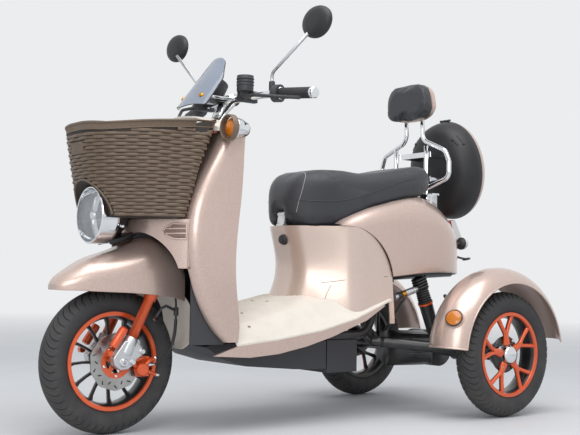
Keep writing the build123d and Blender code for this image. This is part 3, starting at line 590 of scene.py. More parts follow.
def lens(name, tint, roughness, clear):
    """Moulded lamp plastic with fine ribs behind it."""
    moulded = Finish(name, tint, roughness, Transmission_Weight=clear, IOR=1.49, Coat_Weight=0.4,
                     Coat_Roughness=0.03)
    waves = {"Vector": own_place(moulded.tree), "Scale": 60.0, "Distortion": 0.4}
    moulded.bump(add_node(moulded.tree, "ShaderNodeTexWave", waves).outputs[1], 0.25, 0.6)
    return moulded.material


@known_as("amber")
def amber_lens():
    """The signals' and side markers' plastic."""
    return lens("amber_lens", (240, 138, 20), 0.16, 0.35)


@known_as("red_lens")
def red_lens():
    """The tail lamp's plastic."""
    return lens("red_lens", (196, 24, 34), 0.16, 0.3)


@known_as("white_lens")
def white_lens():
    """The rear signals' plastic and the ends of the tail lamp."""
    return lens("white_lens", (238, 238, 236), 0.18, 0.15)


@known_as("gold")
def gold_metal():
    """Gold anodised metal of small bolts and bands."""
    gold = Finish("gold_anodised", (214, 150, 46), 0.28, 0.9)
    gold.clouds(30.0, 0.5, (190, 128, 36))
    return gold.material


@known_as("clear")
def clear_lens():
    """A thin clear cover: what lies behind it shows through."""
    cover = Finish("clear_lens", (236, 240, 243), 0.03, Alpha=0.22, Coat_Weight=0.6, Coat_Roughness=0.02)
    cover.clouds(8.0, 0.4, (222, 228, 232))
    return cover.material


@known_as("smoke")
def smoke_screen():
    """Grey blue windscreen plastic."""
    screen = Finish("smoke_screen", (150, 158, 172), 0.08, Transmission_Weight=0.25, IOR=1.3,
                    Coat_Weight=0.5, Coat_Roughness=0.04)
    screen.clouds(6.0, 0.4, (132, 141, 156))
    return screen.material


@known_as("mirror")
def mirror_glass():
    """The mirrors' silvered glass."""
    glass = Finish("mirror_glass", (226, 230, 234), 0.02, 1.0)
    glass.clouds(10.0, 0.3, (210, 216, 222))
    return glass.material


finished = {}


def finish(name):
    """The named finish, made the first time that it is asked for."""
    if name not in finished:
        finished[name] = MAKERS[name]()
    return finished[name]


# Meshes

# distance in metres within which two corners are one
MERGE = 1e-5
SKIN_CREASE = 32


def new_object(name, mesh):
    """A mesh's object, placed in the scene."""
    made = bpy.data.objects.new(name, mesh)
    bpy.context.scene.collection.objects.link(made)
    return made


def smooth_shading(mesh, crease):
    """Shade softly, up to a crease angle in degrees."""
    mesh.shade_smooth()
    mesh.set_sharp_from_angle(angle=radians(crease))


def from_faces(name, points, faces, crease=35):
    """A piece from points and faces, its doubles merged, its faces outwards and its shading soft."""
    mesh = bpy.data.meshes.new(name)
    mesh.from_pydata([tuple(p) for p in points], [], faces)
    work = bmesh.new()
    work.from_mesh(mesh)
    bmesh.ops.remove_doubles(work, verts=work.verts, dist=MERGE)
    bmesh.ops.recalc_face_normals(work, faces=work.faces)
    work.to_mesh(mesh)
    work.free()
    smooth_shading(mesh, crease)
    return new_object(name, mesh)


def merged_copy(node):
    """A solid's mesh with its doubles merged."""
    mesh = frame["nodes"][node].data.copy()
    work = bmesh.new()
    work.from_mesh(mesh)
    bmesh.ops.remove_doubles(work, verts=work.verts, dist=MERGE)
    work.to_mesh(mesh)
    work.free()
    return mesh


def dress(piece, body, surface, *nodes):
    """Give a piece its finish and its body, and hide the solids that it stands for."""
    coloured(piece, surface)
    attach(piece, body)
    if nodes:
        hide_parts(*nodes)
    return piece


def trim(piece, body):
    """An added piece in finishes of its own: the body that carries it."""
    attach(piece, body)
    return piece


def body_of(node):
    """The body that a solid moves with."""
    return frame["nodes"][node]["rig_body"]


def coloured(piece, surface):
    """A piece in one finish alone."""
    piece.data.materials.clear()
    piece.data.materials.append(finish(surface))
    return piece


def paint_faces(piece, surface, chosen):
    """Give the faces whose middle passes a test another finish."""
    piece.data.materials.append(finish(surface))
    number = len(piece.data.materials) - 1
    for face in piece.data.polygons:
        if chosen(face.center, face.normal):
            face.material_index = number


def skin_of(node, surface):
    """A solid's own form with merged faces and soft shading."""
    mesh = merged_copy(node)
    smooth_shading(mesh, SKIN_CREASE)
    return dress(new_object(node + "_skin", mesh), body_of(node), surface, node)


def lathe(name, profile, middle, axis=(1, 0, 0), steps=48, crease=35):
    """A turned form: pairs of place along the axis and radius, closed on itself, all in millimetres."""
    aim = Vector(axis).normalized()
    side = Vector((0, 1, 0)) if abs(aim.x) > 0.9 else aim.orthogonal().normalized()
    other = aim.cross(side)
    points, faces, rings = [], [], []
    for along, radius in profile:
        count = 1 if radius < 1e-6 else steps
        rings.append((len(points), count))
        for step in range(count):
            turn = tau * step / steps
            outwards = side * cos(turn) + other * sin(turn)
            points.append(Vector(middle) + (aim * along + outwards * radius) * MM)
    for (first, one), (second, another) in zip(rings, rings[1:] + rings[:1]):
        if one == 1 and another == 1:
            continue
        for step in range(steps):
            ahead = (step + 1) % steps
            corners = [first + (step if one > 1 else 0), first + (ahead if one > 1 else 0),
                       second + (ahead if another > 1 else 0), second + (step if another > 1 else 0)]
            faces.append(tuple(dict.fromkeys(corners)))
    return from_faces(name, points, faces, crease)


def turned(surface, profile, middle, axis=(1, 0, 0), steps=48, crease=35):
    """A turned form in its finish, to be joined to others."""
    return coloured(lathe("turned", profile, middle, axis, steps, crease), surface)


def head(middle, aim, radius, tall, surface="chrome"):
    """A bolt's or button's round head with a soft edge."""
    form = [(-2, 0), (-2, radius), (tall * 0.6, radius), (tall, radius * 0.75), (tall, 0)]
    return turned(surface, form, middle, aim, 20, 50)


def plate(name, outline, low, high, crease=35):
    """A plate with a side outline of places, given as Y and Z in metres, between two X places."""
    count = len(outline)
    points = [(x, y, z) for x in (low, high) for y, z in outline]
    faces = [tuple(range(count)), tuple(range(2 * count - 1, count - 1, -1))]
    faces += [(k, (k + 1) % count, count + (k + 1) % count, count + k) for k in range(count)]
    return from_faces(name, points, faces, crease)


def tree_of(piece):
    """A piece's surface, to find places on it."""
    return BVHTree.FromPolygons([v.co.copy() for v in piece.data.vertices],
                                [tuple(p.vertices) for p in piece.data.polygons])


def solid_tree(node):
    """A solid's surface, to find places on it."""
    return tree_of(frame["nodes"][node])


def smooth_line(points, steps=8):
    """A smooth line through places."""
    ends = [points[0]] + list(points) + [points[-1]]
    line = []
    for a, b, c, d in zip(ends, ends[1:], ends[2:], ends[3:]):
        for step in range(steps):
            t = step / steps
            line.append(b + (c - a) * t / 2 + (a * 2 - b * 5 + c * 4 - d) * t * t / 2
                        + (b * 3 - a - c * 3 + d) * t ** 3 / 2)
    return line + [points[-1]]


def onto(tree, line, lift):
    """A line's places moved to the nearest place of a surface, lifted off it by some millimetres."""
    moved = []
    for spot in line:
        hit, normal, index, distance = tree.find_nearest(spot)
        outwards = normal if normal.dot(spot - hit) >= 0 or distance < 2 * MM else -normal
        moved.append(hit + outwards * lift * MM)
    return moved


def onto_both(tree, line, lift):
    """A line laid onto a surface, and its mirror image."""
    return [onto(tree, line, lift), onto(tree, across(line), lift)]


def arc_points(a, b, c, steps):
    """Points on the circle through three flat points, from the first to the last."""
    (ax, ay), (bx, by), (cx, cy) = a, b, c
    d = 2 * (ax * (by - cy) + bx * (cy - ay) + cx * (ay - by))
    aa, bb, cc = (x * x + y * y for x, y in (a, b, c))
    ux = (aa * (by - cy) + bb * (cy - ay) + cc * (ay - by)) / d
    uy = (aa * (cx - bx) + bb * (ax - cx) + cc * (bx - ax)) / d
    radius = sqrt((ax - ux) ** 2 + (ay - uy) ** 2)
    start, mid, end = (atan2(y - uy, x - ux) for x, y in (a, b, c))
    turn = (end - start) % tau
    if (mid - start) % tau > turn:
        turn -= tau
    return [(ux + radius * cos(start + turn * k / steps), uy + radius * sin(start + turn * k / steps))
            for k in range(steps + 1)]


def ring_about(middle, aim, radius, steps, turns=1.0, rise=0.0):
    """Places round an axis: one turn that ends where it began, or more that climb, in millimetres."""
    side = aim.orthogonal().normalized()
    other = aim.cross(side)
    count = round(steps * turns)
    places = []
    for k in range(count + 1):
        outwards = side * cos(tau * k / steps) + other * sin(tau * k / steps)
        places.append(middle + (aim * rise * k / count + outwards * radius) * MM)
    return places


def join(name, pieces):
    """Several pieces as one mesh, each face keeping its finish."""
    work = bmesh.new()
    materials = []
    for piece in pieces:
        start = len(work.faces)
        work.from_mesh(piece.data)
        work.faces.ensure_lookup_table()
        own = list(piece.data.materials)
        for face in work.faces[start:]:
            material = own[face.material_index] if own else None
            if material not in materials:
                materials.append(material)
            face.material_index = materials.index(material)
    mesh = bpy.data.meshes.new(name)
    work.to_mesh(mesh)
    work.free()
    for material in materials:
        mesh.materials.append(material)
    for piece in pieces:
        bpy.data.objects.remove(piece)
    return new_object(name, mesh)


# Geometry Nodes trees for bars that follow lines

def geometry_tree(name, inputs):
    """A new geometry tree with its named inputs."""
    tree = bpy.data.node_groups.new(name, "GeometryNodeTree")
    for label, kind in [("Geometry", "NodeSocketGeometry"), *inputs]:
        tree.interface.new_socket(label, in_out="INPUT", socket_type=kind)
    tree.interface.new_socket("Geometry", in_out="OUTPUT", socket_type="NodeSocketGeometry")
    tree.nodes.new("NodeGroupInput")
    tree.nodes.new("NodeGroupOutput")
    return tree


@once
def tube_tree():
    """Bars of an oval section along lines, with closed ends."""
    tree = geometry_tree("BarsAlongLines", [("Radius", "NodeSocketFloat"), ("Height", "NodeSocketFloat"),
                                            ("Sides", "NodeSocketInt"), ("Finish", "NodeSocketMaterial")])
    given = tree.nodes["Group Input"].outputs
    line = add_node(tree, "GeometryNodeMeshToCurve", {"Mesh": given["Geometry"]})
    upright = add_node(tree, "GeometryNodeSetCurveNormal", {"Curve": line.outputs[0]}, mode="Z_UP")
    ring = add_node(tree, "GeometryNodeCurvePrimitiveCircle", {"Resolution": given["Sides"], "Radius": 1.0})
    size = add_node(tree, "ShaderNodeCombineXYZ", {"X": given["Radius"], "Y": given["Height"], "Z": 1.0})
    oval = add_node(tree, "GeometryNodeTransform", {"Geometry": ring.outputs["Curve"],
                                                    "Scale": size.outputs[0]})
    bar = add_node(tree, "GeometryNodeCurveToMesh", {"Curve": upright.outputs[0],
                                                     "Profile Curve": oval.outputs[0], "Fill Caps": True})
    smooth = add_node(tree, "GeometryNodeSetShadeSmooth", {"Geometry": bar.outputs[0]})
    painted = add_node(tree, "GeometryNodeSetMaterial", {"Geometry": smooth.outputs[0],
                                                         "Material": given["Finish"]})
    tree.links.new(painted.outputs[0], tree.nodes["Group Output"].inputs[0])
    return tree


def grown(holder, tree, values):
    """Run a tree on a holder mesh and give the result as a plain object."""
    modifier = holder.modifiers.new("making", "NODES")
    modifier.node_group = tree
    for item in tree.interface.items_tree:
        if item.in_out == "INPUT" and item.name in values:
            modifier[item.identifier] = values[item.name]
    seen = holder.evaluated_get(bpy.context.evaluated_depsgraph_get())
    mesh = bpy.data.meshes.new_from_object(seen)
    name = holder.name
    bpy.data.objects.remove(holder)
    made = new_object(name, mesh)
    made.name = name
    return made


def bars(name, lines, radius, surface, height=None, sides=10, closed=False):
    """Round or oval bars along lines of points, in metres; radius and height in millimetres."""
    points, edges = [], []
    for line in lines:
        first = len(points)
        points += [tuple(p) for p in line]
        edges += [(first + k, first + k + 1) for k in range(len(line) - 1)]
        if closed:
            edges.append((len(points) - 1, first))
    mesh = bpy.data.meshes.new(name)
    mesh.from_pydata(points, edges, [])
    holder = new_object(name, mesh)
    return grown(holder, tube_tree(), {"Radius": radius * MM, "Height": (height or radius) * MM,
                                       "Sides": sides, "Finish": finish(surface)})


# Tyres, in millimetres

TREAD_PITCHES = 54
GROOVE_DEPTH = 3.6
# share of a pitch, and how deep it lies as a share of the groove's depth
TREAD_COLUMNS = [(0.0, 0.0), (0.05, 1.0), (0.2, 1.0), (0.25, 0.0), (0.5, 0.0), (0.75, 0.0)]
TYRE_HALF = 41.5
BEAD_HALF = 30.2
SHOULDER_IN = 8
SHOULDER_DROP = 16
TREAD_HALF = 33.5
# radii between which a fine ring is pressed into the side wall, and its depth
WALL_RINGS = ((150, 152.5), (160, 162.5))
WALL_RING_DEPTH = 0.6


def tyre_profile():
    """Half of the tyre's outline, from the bead to the crown: X and radius."""
    foot, lip, crown = RIM_R / MM - 10, RIM_R / MM + 1, TYRE_R / MM
    shoulder = (TYRE_HALF - SHOULDER_IN, crown - SHOULDER_DROP)
    wall = arc_points((BEAD_HALF, lip), (TYRE_HALF, (crown + foot) / 2 + 4), shoulder, 12)
    tread = arc_points(shoulder, (0, crown), (-shoulder[0], shoulder[1]), 32)[:17]
    return [(BEAD_HALF, foot)] + wall + tread[1:]


def tread_place(pitch, share, deep, sideways, radius):
    """Turn and radius of a place on the tread: its grooves bend towards the shoulders and fade there."""
    off = abs(sideways) / TREAD_HALF
    bend = 1.5 * (1 - min(off, 1.2)) ** 1.6 if off < 1 else 0
    fade = max(0, min(1, (off - 0.16) / 0.14))
    tread_foot = TYRE_R / MM - 17
    if off > 1 or radius < tread_foot:
        fade = max(0, 1 - (tread_foot - radius) / 12)
    ring = WALL_RING_DEPTH if any(low < radius < high for low, high in WALL_RINGS) else 0
    skew = 0.25 * max(-1, min(1, sideways / 6))
    return tau * (pitch + share + bend + skew) / TREAD_PITCHES, radius - deep * fade * GROOVE_DEPTH - ring


def make_tyre(node, x, y):
    """Carcass and curved tread blocks as one grid that follows each groove's edges."""
    half_line = tyre_profile()
    line = half_line + [(-a, r) for a, r in reversed(half_line[:-1])]
    points, faces = [], []
    for pitch in range(TREAD_PITCHES):
        for share, deep in TREAD_COLUMNS:
            for sideways, radius in line:
                turn, r = tread_place(pitch, share, deep, sideways, radius)
                points.append((x + sideways * MM, y + r * MM * sin(turn), TYRE_R + r * MM * cos(turn)))
    rows, columns = len(line), TREAD_PITCHES * len(TREAD_COLUMNS)
    for column in range(columns):
        here, following = column * rows, (column + 1) % columns * rows
        for row in range(rows):
            above = (row + 1) % rows
            faces.append((here + row, following + row, following + above, here + above))
    dress(from_faces(node + "_rubber", points, faces, 42), body_of(node), "tyre", node)


make_tyre("front_tyre", 0, FRONT_AXLE.y)
for side, word in SIDES:
    make_tyre(f"rear_tyre_{word}", side * TRACK_HALF, REAR_AXLE.y)


# Wheels, in millimetres

HOOP_HALF = 33
NUT_CIRCLE = 49


def hoop_profile():
    """The rim's outline: X and radius, with rounded flanges."""
    r, half = RIM_R / MM, HOOP_HALF
    left = [(-half + 3, r - 10.5), (-half + 3, r - 1), (-half + 1.6, r), (-half, r - 0.8), (-half, r - 11),
            (-half + 5, r - 13), (-half + 12, r - 17), (-12, r - 20)]
    return left + [(-x, radius) for x, radius in reversed(left)] + [(20, r - 12), (-20, r - 12)]


def blade(x, y, angle, sections, steps=10):
    """A spoke from sections of radius, sideways shift, half width, half depth and X shift."""
    points, faces = [], []
    swing = Matrix.Rotation(radians(angle), 4, "X")
    for radius, shift, half, deep, ahead in sections:
        for step in range(steps):
            turn = tau * step / steps
            spot = swing @ Vector((0, (shift + half * cos(turn)) * MM, radius * MM))
            points.append(spot + Vector((x + (ahead + deep * sin(turn)) * MM, y, TYRE_R)))
    for section in range(len(sections) - 1):
        for step in range(steps):
            a, b = section * steps + step, section * steps + (step + 1) % steps
            faces.append((a, b, b + steps, a + steps))
    faces.append(tuple(range(steps)))
    faces.append(tuple(range(len(points) - steps, len(points))))
    return points, faces


def many_blades(x, y, angles, sections, surface, steps=10):
    """All of a wheel's like spokes as one mesh."""
    points, faces = [], []
    for angle in angles:
        more, these = blade(x, y, angle, sections, steps)
        faces += [tuple(index + len(points) for index in face) for face in these]
        points += more
    return coloured(from_faces("blades", points, faces, 50), surface)


def front_wheel():
    """Orange hoop, black barrel, twelve slim curved spokes and a black hub."""
    x, y = 0, FRONT_AXLE.y
    middle = (x, y, TYRE_R)
    hoop = turned("orange", hoop_profile(), middle, steps=128)
    paint_faces(hoop, "black_metal", lambda at, n: abs(at.x) < 27 * MM)
    hub = [(-27, 6.2), (-27, 22), (-24, 26), (-14, 30), (14, 30), (24, 26), (27, 22), (27, 6.2)]
    spoke = [(26, -2, 6.5, 13, 0), (50, 1, 4.6, 11, 0), (80, 4, 4.0, 9, 0), (105, 4, 4.6, 9.5, 0),
             (RIM_R / MM - 16, 1, 7, 13, 0)]
    spokes = many_blades(x, y, [30 * k + 5 for k in range(12)], spoke, "black_metal")
    wheel = join("front_wheel_rim", [hoop, turned("black_metal", hub, middle, steps=64), spokes])
    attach(wheel, body_of("front_rim"))
    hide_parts("front_rim")


def rear_wheel(side, word):
    """Orange hoop and forked spokes with black sides, a chrome cap and its nuts."""
    x, y = side * TRACK_HALF, REAR_AXLE.y
    middle = Vector((x, y, TYRE_R))
    hoop = turned("orange", hoop_profile(), middle, steps=128)
    paint_faces(hoop, "black_metal", lambda at, n: (at.x - x) * side < 26 * MM)
    face_x = side * 19
    hub = [(-30, 10.2), (-30, 36), (-20, 40), (2, 58), (10, 60), (13, 57), (16, 40), (22, 37), (26, 30),
           (26, 10.2)]
    cap = [(24, 0), (24, 31), (33, 30), (40, 25), (44, 15), (45.5, 0)]
    parts = [hoop] + [turned(surface, [(side * a, b) for a, b in form], middle, steps=64)
                      for surface, form in (("black_metal", hub), ("chrome", cap))]
    angles = [72 * k + 8 for k in range(5)]
    stem = [(32, 0, 16, 9, face_x), (58, 0, 11, 8, face_x), (76, 0, 12, 8, face_x)]
    arms = [[(68, lean * 3, 8, 8, face_x), (92, lean * 16, 7.5, 8, face_x),
             (RIM_R / MM - 14, lean * 34, 9, 9, face_x + side * 2)] for lean in (1, -1)]
    parts += [many_blades(x, y, angles, sections, "orange", 12) for sections in (stem, *arms)]
    for angle in (66, 153, 237, 320):
        spot = Vector((side * 12, NUT_CIRCLE * cos(radians(angle)), NUT_CIRCLE * sin(radians(angle)))) * MM
        parts.append(head(middle + spot, (side, 0, 0), 7, 14))
    wheel = join(f"rear_wheel_{word}_rim", parts)
    paint_faces(wheel, "black_metal", lambda at, n: (at.x - x) * side < 20 * MM and n.x * side < 0.5
                and sqrt((at.y - y) ** 2 + (at.z - TYRE_R) ** 2) > 58 * MM)
    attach(wheel, body_of(f"rear_rim_{word}"))
    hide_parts(f"rear_rim_{word}")


front_wheel()
for side, word in SIDES:
    rear_wheel(side, word)


# Basket, in millimetres

RIM_BAND = 21
WEAVE_ROW = 9.4
STAKE = 31
# distance behind the front axle and height of the slanted rim
RIM_LINE = [(-190, 868), (-85, 854), (230, 880)]
RIM_END = 214
TAG_HALF = 35
TAG_ROWS = range(774, 806, 4)
LAMP_ROOM = 101
LAMP_LIP_R = 96.5
# looks at the wall in half a turn, and the height where its length is measured
LOOKS = 420
GUIDE_HEIGHT = 800


def rim_height(y):
    """Height in metres of the basket's slanted rim."""
    for (low_y, low_z), (high_y, high_z) in zip(RIM_LINE, RIM_LINE[1:]):
        if y < front(high_y) or high_y == RIM_LINE[-1][0]:
            return (low_z + (y - front(low_y)) / MM * (high_z - low_z) / (high_y - low_y)) * MM


def basket_wall():
    """A way to find the basket's outer wall: by turn about its middle, from the front, and height."""
    tree = solid_tree("basket")
    middle = Vector((0, front(40), 0))

    def find(turn, z):
        """The wall's place and its outward direction, or None where there is none."""
        away = Vector((sin(turn), -cos(turn), 0))
        hit, normal, index, distance = tree.ray_cast(middle + away * 0.6 + Vector((0, 0, z)), -away)
        if hit is None or (hit - middle).dot(away) < 60 * MM or normal.dot(away) < 0.2:
            return None
        return hit, normal
    return find


def on_weave(hit, z, lamp):
    """Whether a place on the wall carries strands: below the rim, clear of the lamp, signal and tag."""
    if z >= rim_height(hit.y) - (RIM_BAND + 5) * MM or hit.y >= front(RIM_END):
        return False
    if hit.y <= front(60) and hit.x ** 2 + (z - lamp.z) ** 2 <= (LAMP_ROOM * MM) ** 2:
        return False
    beside_tag = abs(hit.x) < TAG_HALF * MM and hit.y < front(0)
    return not (beside_tag and (TAG_ROWS[0] - 3) * MM < z < (TAG_ROWS[-1] + 5) * MM)


def basket_weave():
    """Strands that go over and under, row by row, with their stakes in line from the floor to the rim."""
    find = basket_wall()
    low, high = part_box("basket")
    lamp = centre("headlamp_bucket")
    turns = [pi * k / LOOKS for k in range(LOOKS + 1)]
    guide = [found[0] if found else None for found in (find(turn, GUIDE_HEIGHT * MM) for turn in turns)]
    lengths, travelled = [], 0.0
    for before, now in zip([None] + guide, guide):
        if before is not None and now is not None:
            travelled += (now - before).length
        lengths.append(travelled)
    lines = []
    for row in range(1, int((high.z - low.z) / (WEAVE_ROW * MM))):
        z = low.z + row * WEAVE_ROW * MM
        for side in (1, -1):
            line = []
            for turn, along in zip(turns, lengths):
                found = find(side * turn, z)
                if found is not None and on_weave(found[0], z, lamp):
                    swing = max(-0.75, cos(pi * along / MM / STAKE + row * pi))
                    line.append(found[0] + found[1] * (0.7 + swing * 2.3) * MM)
                elif len(line) > 1:
                    lines.append(line)
                    line = []
            if len(line) > 1:
                lines.append(line)
    strands = bars("basket_weave", lines, 2.3, "wicker", height=WEAVE_ROW * 0.5, sides=8)
    trim(strands, body_of("basket"))


def rim_lines():
    """Lines of the rim band: its reeds, its top and its lower edge."""
    find = basket_wall()
    reeds, top, bottom = [], [], []
    for k in range(-330, 331):
        turn = pi * k / LOOKS
        guess = find(turn, GUIDE_HEIGHT * MM)
        if guess is None or guess[0].y > front(RIM_END):
            continue
        rim = rim_height(guess[0].y)
        upper, lower = find(turn, rim - 4 * MM), find(turn, rim - RIM_BAND * MM)
        if upper is None or lower is None:
            continue
        top.append(upper[0] + upper[1] * 2.2 * MM + Vector((0, 0, 0.6 * MM)))
        bottom.append(lower[0] + lower[1] * 1.6 * MM)
        reeds.append([upper[0] + upper[1] * 1.4 * MM, lower[0] + lower[1] * 1.4 * MM])
    return reeds, top, bottom


def basket_rim():
    """A finely reeded band below a smooth lip, a lip about the lamp and the bare tag."""
    reeds, top, bottom = rim_lines()
    lamp = centre("headlamp_bucket")
    tree = solid_tree("basket")
    lip = []
    for k in range(0, 61):
        turn = pi * k / 60
        start = Vector((LAMP_LIP_R * MM * cos(turn), front(-160), lamp.z + LAMP_LIP_R * MM * sin(turn)))
        hit, normal, index, distance = tree.ray_cast(start, REARWARDS)
        if hit is not None:
            lip.append(hit + normal * 1.5 * MM)
    tag_lines = []
    for z in TAG_ROWS:
        left, right = (ahead_place(x, -160, z) for x in (-TAG_HALF, TAG_HALF))
        hits = [tree.ray_cast(left.lerp(right, k / 8), REARWARDS)[0] for k in range(9)]
        tag_lines.append([hit - REARWARDS * 2.2 * MM for hit in hits if hit is not None])
    parts = [bars("reeds", reeds, 1.0, "wicker", sides=6),
             bars("top_lip", [top], 3.0, "wicker", sides=12),
             bars("low_lip", [bottom], 1.8, "wicker", sides=8),
             bars("lamp_lip", [lip], 3.4, "wicker", sides=12),
             bars("tag", tag_lines, 1.6, "wicker", height=2.4, sides=8)]
    trim(join("basket_rim", parts), body_of("basket"))


basket_weave()
basket_rim()


# Seat and backrest pad

PAD_STEPS = 72
SIM_STEPS = 20


def padded_form(name, node, voxel, shrink, swell, pressure):
    """A foam piece: the solid's form, taken in a little and blown up against its cover."""
    piece = new_object(name, merged_copy(node))
    remesh = piece.modifiers.new("remesh", "REMESH")
    remesh.mode = "VOXEL"
    remesh.voxel_size = voxel * MM
    smooth = piece.modifiers.new("smooth", "SMOOTH")
    smooth.factor = 0.5
    smooth.iterations = 14
    apply_modifiers(piece)
    for vertex in piece.data.vertices:
        vertex.co = vertex.co - vertex.normal * shrink * MM
    rest = [v.co.copy() for v in piece.data.vertices]
    cloth = piece.modifiers.new("cover", "CLOTH")
    cloth.settings.use_pressure = True
    cloth.settings.uniform_pressure_force = pressure
    cloth.settings.effector_weights.gravity = 0
    for step in range(1, SIM_STEPS + 1):
        bpy.context.scene.frame_set(step)
    apply_modifiers(piece)
    bpy.context.scene.frame_set(1)
    for vertex, before in zip(piece.data.vertices, rest):
        move = vertex.co - before
        if move.length > swell * MM:
            vertex.co = before + move.normalized() * swell * MM
    piece.data.shade_smooth()
    return piece


def apply_modifiers(piece):
    """Turn a piece's modifiers into its mesh."""
    seen = piece.evaluated_get(bpy.context.evaluated_depsgraph_get())
    mesh = bpy.data.meshes.new_from_object(seen)
    piece.modifiers.clear()
    piece.data = mesh


def saddle_trim(cushion):
    """The white stitched seam across the nose and the dark line above the lower band."""
    tree = tree_of(cushion)
    half = [rear_place(*spot) for spot in ((75, -651, 645), (82, -645, 683), (88, -638, 714), (79, -618, 763),
                                           (40, -604, 782))]
    seam = onto(tree, smooth_line(half + [rear_place(0, -600, 784)] + across(half[::-1]), 12), 0.5)
    stitches = [[a, a.lerp(b, 0.6)] for a, b in zip(seam, seam[1:])]
    trim(bars("seam_thread", stitches, 0.9, "thread", sides=6), "seat")
    band = [rear_place(*spot) for spot in ((77, -649, 683), (119, -591, 681), (144, -509, 688),
                                           (149, -399, 717), (150, -284, 757), (146, -190, 783))]
    piping = bars("band_piping", onto_both(tree, smooth_line(band, 14), 0.3), 1.5, "vinyl", sides=8)
    trim(piping, "seat")


def pad_width(z):
    """How wide the backrest pad is at a height, as a share of its solid: fullest low down."""
    low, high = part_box("backrest_pad")
    share = (z - low.z) / (high.z - low.z)
    return 1.0 - 0.16 * max(0, share - 0.35) / 0.65


def squared(value):
    """A sine or cosine drawn out, so that a round outline gets fuller corners."""
    return abs(value) ** 0.72 * (1 if value > 0 else -1)


def pad_back():
    """The pad's painted back shell, a little larger than its cushion."""
    low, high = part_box("backrest_pad")
    middle = (low + high) / 2
    points = []
    # share of the pad's depth, and share of its width and height there
    rings = [(0.60, 0.90), (0.66, 0.985), (0.9, 0.985), (0.985, 0.9), (0.99, 0.4)]
    for back, grow in rings:
        for k in range(PAD_STEPS):
            turn = tau * k / PAD_STEPS
            z = middle.z + squared(sin(turn)) * (high.z - low.z) / 2 * grow
            x = squared(cos(turn)) * (high.x - low.x) / 2 * grow * pad_width(z)
            points.append((x, low.y + (high.y - low.y) * back, z))
    faces = [tuple(range(PAD_STEPS))[::-1], tuple(range(len(points) - PAD_STEPS, len(points)))]
    for start in range(0, len(points) - PAD_STEPS, PAD_STEPS):
        for k in range(PAD_STEPS):
            n = (k + 1) % PAD_STEPS
            faces.append((start + k, start + n, start + PAD_STEPS + n, start + PAD_STEPS + k))
    return coloured(from_faces("pad_back", points, faces, 50), "champagne")


saddle = padded_form("saddle_cushion", "saddle", 6, 3, 5, 3)
dress(saddle, "seat", "vinyl", "saddle")
saddle_trim(saddle)
pad = padded_form("backrest_cushion", "backrest_pad", 5, 5, 7, 4)
pad_low, pad_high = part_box("backrest_pad")
for vertex in pad.data.vertices:
    vertex.co.x *= pad_width(vertex.co.z) * 0.98
    vertex.co.y = min(vertex.co.y, pad_low.y + (pad_high.y - pad_low.y) * 0.7)
dress(pad, body_of("backrest_pad"), "vinyl", "backrest_pad")
trim(pad_back(), body_of("backrest_pad"))


# Front brake, clamps and hose, in millimetres

DISC_X = 47
DISC_HALF = 1.9
DISC_R = 78.5
DISC_BORE = 45
DISC_STEPS = 240
DISC_SLOTS = 20
WAVES = 10
WAVE_DEPTH = 1.4
RIVET_CIRCLE = 39
LEG_X = 75


def on_disc(x, radius, turn):
    """A place on the front disc, from its turn about the axle."""
    return Vector((x * MM, FRONT_AXLE.y + radius * MM * sin(turn), TYRE_R + radius * MM * cos(turn)))


def disc_slots():
    """Short slots in two rows that lean to either side."""
    slots = []
    for k in range(DISC_SLOTS):
        turn, lean = tau * k / DISC_SLOTS, 0.1 if k % 2 else -0.1
        inner, outer = (57, 65) if k % 2 else (65, 73)
        slots.append([on_disc(DISC_X + 2, r, turn + d) for r, d in ((inner, -lean / 2), (outer, lean / 2))])
    return bars("slots", slots, 1.9, "black_plastic", height=1.9, sides=8)


def front_disc():
    """A slotted disc with a wavy edge on an orange carrier."""
    points, faces = [], []
    for x in (DISC_X - DISC_HALF, DISC_X + DISC_HALF):
        for wave, radius in ((0, DISC_BORE), (WAVE_DEPTH, DISC_R)):
            for turn in (tau * k / DISC_STEPS for k in range(DISC_STEPS)):
                points.append(on_disc(x, radius + wave * cos(WAVES * turn), turn))
    for k in range(DISC_STEPS):
        n = (k + 1) % DISC_STEPS
        for a, b in ((0, 1), (1, 3), (3, 2), (2, 0)):
            faces.append((a * DISC_STEPS + k, a * DISC_STEPS + n, b * DISC_STEPS + n, b * DISC_STEPS + k))
    middle = (DISC_X * MM, FRONT_AXLE.y, TYRE_R)
    arm = [(14, 0, 9, 2.4, 0), (26, 0, 6, 2.4, 0), (36, 0, 9, 2.4, 0)]
    parts = [coloured(from_faces("disc", points, faces), "steel"), disc_slots(),
             turned("orange", [(-2.6, 32), (3.4, 32), (3.4, 46), (-2.6, 46)], middle, steps=96),
             many_blades(DISC_X * MM, FRONT_AXLE.y, [72 * k for k in range(5)], arm, "orange"),
             turned("black_metal", [(-20, 6.2), (-20, 20), (2, 20), (4, 16), (4, 6.2)], middle)]
    for k in range(5):
        parts.append(head(on_disc(DISC_X + 3, RIVET_CIRCLE, tau * (k + 0.5) / 5), (1, 0, 0), 4.5, 3))
    whole = join("front_disc", parts)
    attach(whole, body_of("brake_disc"))
    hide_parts("brake_disc")


